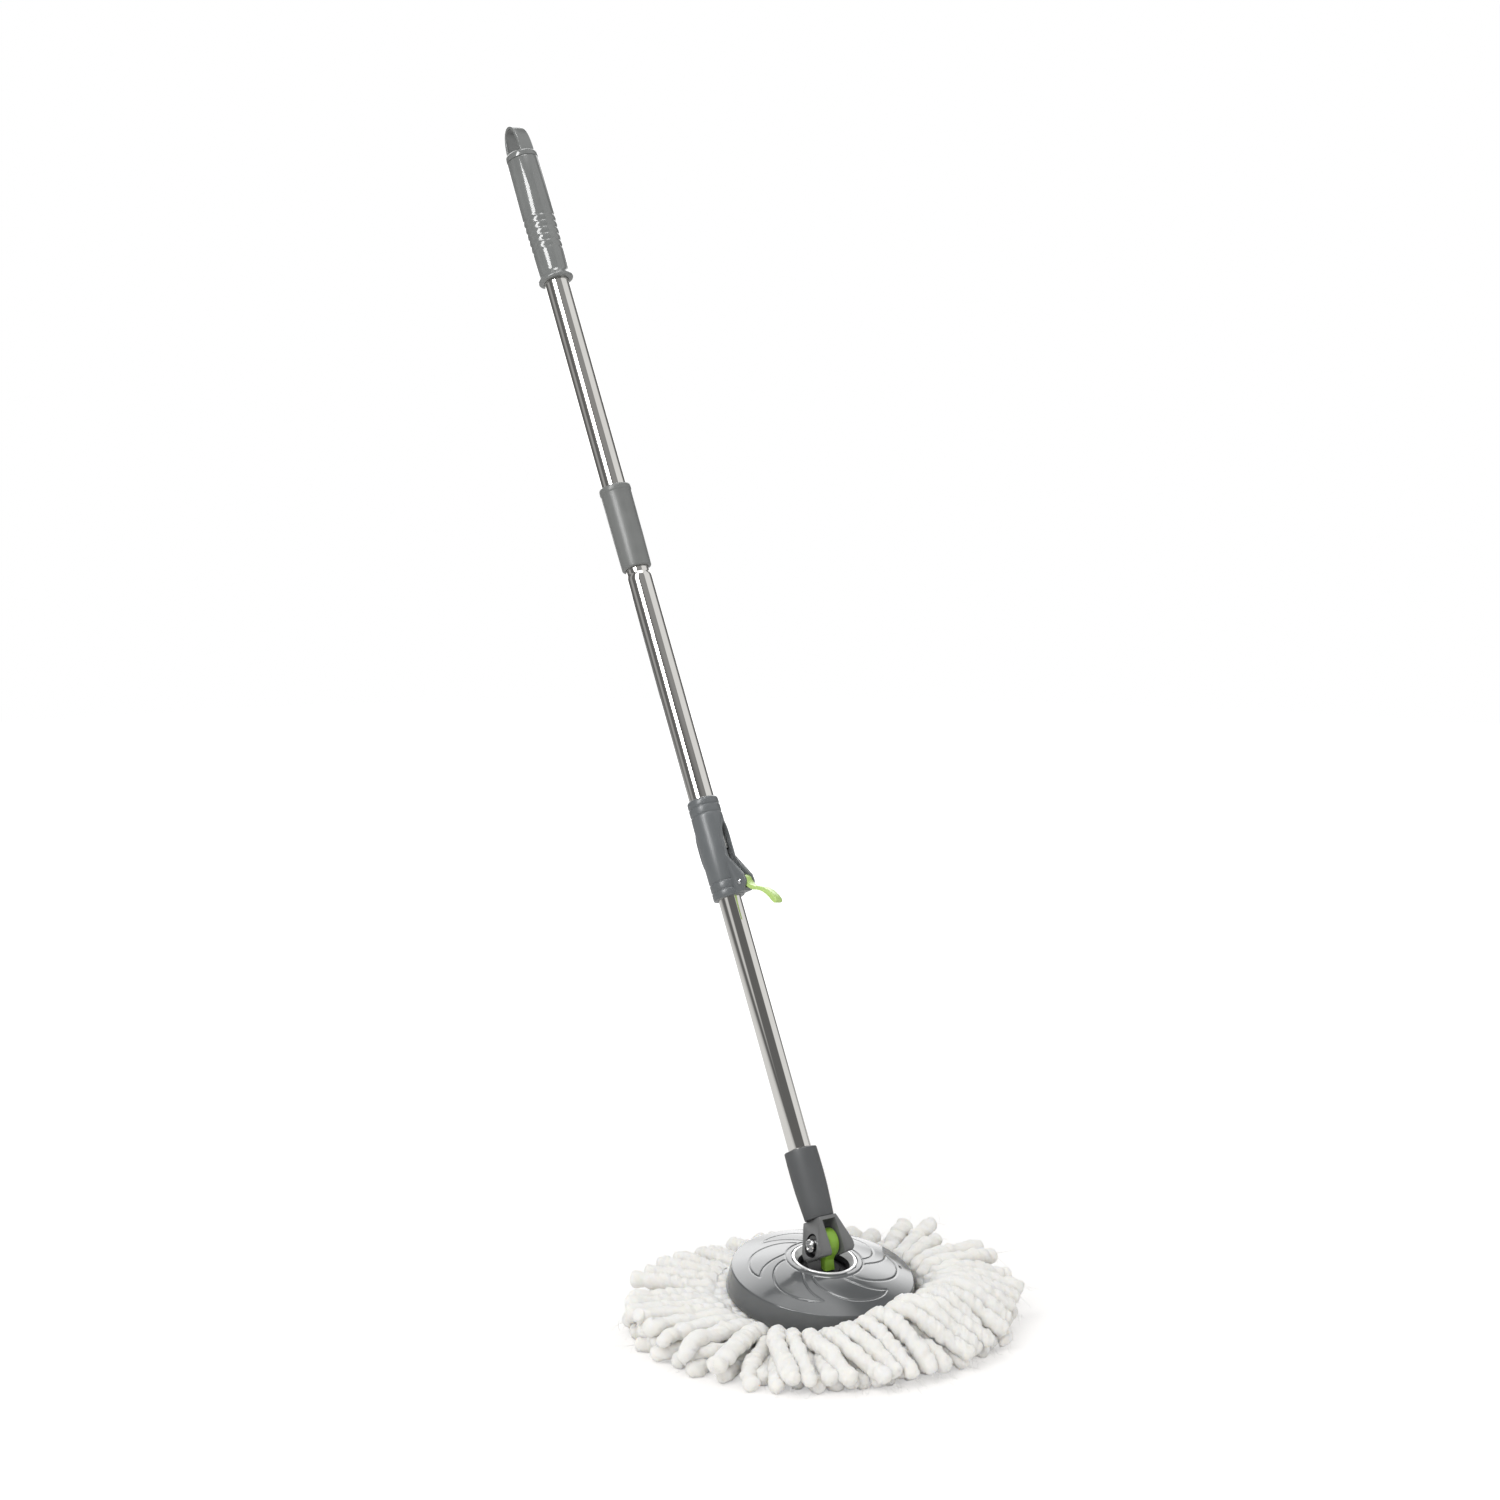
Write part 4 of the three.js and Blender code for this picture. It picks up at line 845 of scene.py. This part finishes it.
def settle(paths, standing):
    strands, count, _ = paths.shape
    roots = settling["rootNodes"]
    target = paths.copy()
    steps = np.linalg.norm(np.diff(paths, axis=1), axis=2)
    along = np.concatenate([np.zeros((strands, 1)), np.cumsum(steps, axis=1)], axis=1)
    girth = yarn["radius"] * np.clip(0.45 + 0.55 * (along - 8) / 30, 0.45, 1)  # slim at the root
    girth = girth * dice.uniform(0.9, 1.1, (strands, 1))
    flat = girth.ravel()
    owner = np.repeat(np.arange(strands), count)
    tip = radians(layout["discTip"])
    pivot = layout["boltHeight"]
    onTop = np.arange(strands)[:, None, None] < yarn["perLayer"]
    hold = np.where(onTop, settling["pullTop"], settling["pullUnder"]) * np.ones((1, count, 1))
    hold[standing] = settling["pullStanding"]
    hold[:, :roots] = settling["pullRoot"]
    for turn in range(settling["rounds"]):
        paths += (target - paths) * hold
        paths[:, roots:, 2] -= settling["sag"]
        points = paths.reshape(-1, 3)
        if turn % 5 == 0:
            lengths = (points ** 2).sum(1)
            gap = lengths[:, None] + lengths[None] - 2 * points @ points.T
            close = np.triu(gap < settling["near"] ** 2, 1)
            first, second = np.nonzero(close & (owner[:, None] != owner[None]))
        for _ in range(2):
            apart = points[first] - points[second]
            distance = np.linalg.norm(apart, axis=1) + 1e-6
            need = settling["closeness"] * (flat[first] + flat[second]) - distance
            push = (np.clip(need, 0, None) * settling["push"] / distance)[:, None] * apart
            moved = np.zeros_like(points)
            hits = np.zeros(len(points))
            np.add.at(moved, first, push)
            np.add.at(moved, second, -push)
            np.add.at(hits, first, need > 0)
            np.add.at(hits, second, need > 0)
            points += moved / np.clip(hits, 1, None)[:, None] ** 0.5
        paths = points.reshape(paths.shape)
        for _ in range(3):  # strands keep their length and bend softly
            between = 0.5 * (paths[:, :-2] + paths[:, 2:])
            paths[:, 1:-1] += settling["bend"] * (between - paths[:, 1:-1])
            spans = np.diff(paths, axis=1)
            length = np.linalg.norm(spans, axis=2, keepdims=True)
            shift = 0.5 * spans * (1 - steps[..., None] / length)
            paths[:, 1:-1] += 0.5 * (shift[:, 1:] - shift[:, :-1])
            paths[:, -1] -= shift[:, -1]
        # clear of the disc's skirt, in the disc's own frame, and of the floor
        y = paths[..., 1] * cos(tip) + (paths[..., 2] - pivot) * sin(tip)
        z = -paths[..., 1] * sin(tip) + (paths[..., 2] - pivot) * cos(tip)
        local = np.hypot(paths[..., 0], y)
        wall = np.interp(z, settling["skirtHeights"], settling["skirtRadii"]) + girth * settling["skirtShare"]
        free = np.arange(count) > settling["freeNode"]
        inside = (z > settling["skirtEdge"] - 0.3 * girth) & (local < wall) & free
        factor = np.where(inside, 1 + settling["skirtPush"] * (wall - local) / local, 1)[..., None]
        paths[..., :2] *= factor
        low = ~free & (z > -settling["skirtFoot"] - girth)
        paths[..., 2] -= np.where(low, z + settling["skirtFoot"] + girth, 0) * settling["skirtPush"]
        far = np.hypot(paths[..., 0], paths[..., 1])
        sideways = np.maximum(np.abs(paths[..., 0]), 1)
        limit = np.minimum(yarn["farthest"], yarn["widest"] * far / sideways)
        paths[..., :2] *= np.minimum(1, limit / np.maximum(far, 1))[..., None]
        paths[..., 2] = np.maximum(paths[..., 2], girth * settling["floorShare"] + settling["floorGap"])
    return paths, girth


def walkAlong(line):  # distance from the line's start to each of its points
    return np.concatenate([[0], np.cumsum(np.linalg.norm(np.diff(line, axis=0), axis=1))])


# One strand: two plies wound round each other, each with its own lumps, and fluff on both.
def sweep(path, girth, rings, phase):
    walked = walkAlong(path)
    even = np.linspace(0, walked[-1], rings)
    fine = smoothLine(path, 8)
    fineWalked = walkAlong(fine)
    places = even * fineWalked[-1] / walked[-1]
    centre = np.stack([np.interp(places, fineWalked, fine[:, k]) for k in range(3)], 1)
    ahead = np.gradient(centre, axis=0)
    ahead /= np.linalg.norm(ahead, axis=1, keepdims=True)
    up = np.array([0, 0, 1.0])
    sides = np.zeros_like(ahead)
    for ring in range(rings):
        up = up - ahead[ring] * (up @ ahead[ring])
        up /= np.linalg.norm(up)
        sides[ring] = up
    across = np.cross(ahead, sides)
    length = even[-1]
    swell, swellPitch = yarn["swell"]
    thick = np.interp(even, walked, girth) * (1 + swell * np.sin(2 * np.pi * even / swellPitch + phase[0]))
    blunt = 4 + 3 * phase[1] / 6.28
    toTip = np.clip((length - even) / blunt, 0, 1)
    toRoot = np.clip(even / 3, 0, 1)
    thick = thick * np.sqrt(1 - (1 - toTip) ** 2 + 0.004) * np.sqrt(1 - (1 - toRoot) ** 2 + 0.01)
    knots = np.arange(0, length + 12, yarn["knotStep"])
    plies = [1 + np.interp(even, knots, dice.normal(0, yarn["knots"], len(knots))) for _ in range(2)]
    wander, wanderPitch = yarn["wander"]
    wind = 2 * np.pi * even / yarn["plyPitch"] + phase[3] + wander * np.sin(even / wanderPitch + phase[1])
    angle = np.linspace(0, 2 * np.pi, yarn["sides"], endpoint=False)[None] + np.zeros((rings, 1))
    first = 0.5 + 0.5 * np.clip(np.cos(angle) * 4, -1, 1)
    ply = yarn["plyRadius"] * (first * plies[0][:, None] + (1 - first) * plies[1][:, None])
    offset = yarn["plyOffset"]
    outline = offset * np.abs(np.cos(angle)) + np.sqrt(ply ** 2 - (offset * np.sin(angle)) ** 2)
    fluff = dice.normal(0, 1, (rings, yarn["sides"]))
    fluff = (fluff + np.roll(fluff, 1, 0) + np.roll(fluff, 1, 1) + np.roll(fluff, -1, 1)) / 2
    radius = thick[:, None] * outline * (1 + yarn["fluff"] * fluff)
    turned = angle + wind[:, None]
    outward = sides[:, None] * np.cos(turned)[..., None] + across[:, None] * np.sin(turned)[..., None]
    points = centre[:, None] + outward * radius[..., None]
    points[..., 2] = np.maximum(points[..., 2], 0.25 + 0.02 * np.abs(fluff))
    return points, centre, ahead, outward


# Thin fibres as closed tubes: from a start, along a direction, bending by a curl.
def fibres(starts, heading, curl, radius, sides, steps):
    count = len(starts)
    t = np.linspace(0, 1, steps)[None, :, None]
    line = starts[:, None] + heading[:, None] * t + curl[:, None] * t ** 2
    line[..., 2] = np.maximum(line[..., 2], radius + 0.05)
    ahead = np.gradient(line, axis=1)
    ahead /= np.linalg.norm(ahead, axis=2, keepdims=True) + 1e-9
    side = np.cross(ahead, dice.normal(0, 1, (count, 1, 3)) + np.zeros((1, steps, 1)))
    side /= np.linalg.norm(side, axis=2, keepdims=True) + 1e-9
    other = np.cross(ahead, side)
    angle = np.linspace(0, 2 * np.pi, sides, endpoint=False)
    thin = radius * (1 - 0.55 * t[..., None])
    around = side[:, :, None] * np.cos(angle)[:, None] + other[:, :, None] * np.sin(angle)[:, None]
    rings = line[:, :, None] + thin * around
    tip = line[:, -1:] + 0.5 * radius * ahead[:, -1:]
    points = np.concatenate([rings.reshape(count, -1, 3), line[:, :1], tip], 1)
    index = np.arange(steps * sides).reshape(steps, sides)
    right = np.roll(index, -1, axis=1)
    quads = np.stack([index[:-1], right[:-1], right[1:], index[1:]], -1).reshape(-1, 4)
    ends = np.concatenate([
        np.stack([np.full(sides, steps * sides), right[0], index[0]], -1),
        np.stack([np.full(sides, steps * sides + 1), index[-1], right[-1]], -1)])
    shift = (np.arange(count) * points.shape[1])[:, None, None]
    return points.reshape(-1, 3), (quads[None] + shift).reshape(-1, 4), (ends[None] + shift).reshape(-1, 3)


# Fluff that stands off the strands, and threads that come loose at their ends.
def looseFibres(swept):
    starts, headings = [], []
    ends, endHeadings = [], []
    for rings, centre, ahead, outward in swept:
        rows = dice.integers(14, len(rings) - 2, yarn["fuzz"])
        columns = dice.integers(0, yarn["sides"], yarn["fuzz"])
        lie = dice.normal(0, 1, (yarn["fuzz"], 3))
        starts.append(rings[rows, columns] - 0.3 * outward[rows, columns])
        headings.append((outward[rows, columns] + 0.7 * lie) * dice.uniform(0.7, 1.7, (yarn["fuzz"], 1)))
        for _ in range(int(dice.integers(0, 7))):
            ends.append(centre[-3] + dice.normal(0, 2.2, 3))
            endHeadings.append((ahead[-3] + dice.normal(0, 0.45, 3)) * dice.uniform(4, 9))
    starts, headings = np.vstack(starts), np.vstack(headings)
    ends, endHeadings = np.array(ends), np.array(endHeadings)
    fuzz = fibres(starts, headings, dice.normal(0, 0.9, starts.shape), radius=0.08, sides=3, steps=4)
    hang = dice.normal(0, 4.0, ends.shape) + (0, 0, -3)
    threads = fibres(ends, endHeadings, hang, radius=0.2, sides=5, steps=8)
    return fuzz, threads


# One layer's mesh. Its attribute "wound" holds each point's place round and along its strand.
def strandMesh(name, swept):
    points, faces, wound, start = [], [], [], 0
    for rings, centre, _, _ in swept:
        count, sides = rings.shape[:2]
        points.append(rings.reshape(-1, 3))
        points.append(np.array([centre[0], centre[-1]]))
        angle, row = np.meshgrid(2 * np.pi * np.arange(sides) / sides, np.arange(count) + start / 50)
        along = row * yarn["ringStep"] / yarn["radius"]
        wound.append(np.stack([np.cos(angle), np.sin(angle), along], -1).reshape(-1, 3))
        wound.append(np.zeros((2, 3)))
        index = start + np.arange(count * sides).reshape(count, sides)
        right = np.roll(index, -1, axis=1)
        faces += np.stack([index[:-1], right[:-1], right[1:], index[1:]], -1).reshape(-1, 4).tolist()
        root, end = start + count * sides, start + count * sides + 1
        faces += [(root, b, a) for a, b in zip(index[0].tolist(), right[0].tolist())]
        faces += [(end, a, b) for a, b in zip(index[-1].tolist(), right[-1].tolist())]
        start = end + 1
    for tubes, quads, tips in looseFibres(swept):
        points.append(tubes)
        wound.append(np.zeros(tubes.shape))
        faces += (quads + start).tolist() + (tips + start).tolist()
        start += len(tubes)
    mesh = bpy.data.meshes.new(name)
    mesh.from_pydata((np.vstack(points) * mm + (0, layout["boltY"] * mm, 0)).tolist(), [], faces)
    places = mesh.attributes.new("wound", "FLOAT_VECTOR", "POINT")
    places.data.foreach_set("vector", np.vstack(wound).ravel())
    piece = bpy.data.objects.new(name, mesh)
    bpy.context.scene.collection.objects.link(piece)
    pick(piece)
    editAll()
    faceOutward()
    bpy.ops.object.shade_smooth()
    return piece


def yarnFinish():
    finish, tree, shader = newMaterial("yarn")
    coords = coordsOf(tree)
    cloud = noise(tree, coords, 60, 4)
    fluff = noise(tree, coords, 620, 4, 0.62)
    fine = noise(tree, coords, 1900, 3, 0.6)
    colour = tint(tree, spread(tree, cloud, 0, 1), (0.925, 0.903, 0.858), (0.955, 0.938, 0.905))
    link(tree, colour, shader.inputs["Base Color"])
    setInputs(shader, Roughness=0.95, Specular_IOR_Level=0.15, Sheen_Weight=0.2, Sheen_Roughness=0.6,
              Subsurface_Weight=0.6, Subsurface_Radius=(1, 0.9, 0.75), Subsurface_Scale=0.004)
    alongPly = addNode(tree, "Attribute", attribute_name="wound").outputs["Vector"]
    filaments = noise(tree, stretch(tree, alongPly, (1, 1, 0.16)), 7.5, 3, 0.6)
    relief = maths(tree, "ADD", maths(tree, "MULTIPLY", fine, 0.3), fluff)
    relief = maths(tree, "ADD", relief, maths(tree, "MULTIPLY", filaments, 0.9))
    addBump(tree, shader, relief, 0.55, 0.0009)
    return finish


paths, girths = settle(*strandPaths())
print("strands settled:", len(paths))
finishes["yarn"] = yarnFinish()
for layer, name in enumerate(("yarn_strands_upper", "yarn_strands_middle", "yarn_strands_lower")):
    swept = []
    for index in range(layer * yarn["perLayer"], (layer + 1) * yarn["perLayer"]):
        length = np.linalg.norm(np.diff(paths[index], axis=0), axis=1).sum()
        rings = int(length / yarn["ringStep"])
        swept.append(sweep(paths[index], girths[index], rings, dice.uniform(0, 6.28, 4)))
    piece = strandMesh(name, swept)
    finished(piece, finishes["yarn"], "mop_head", ["fibre_pad"] if layer == 0 else ())
print("strands made")
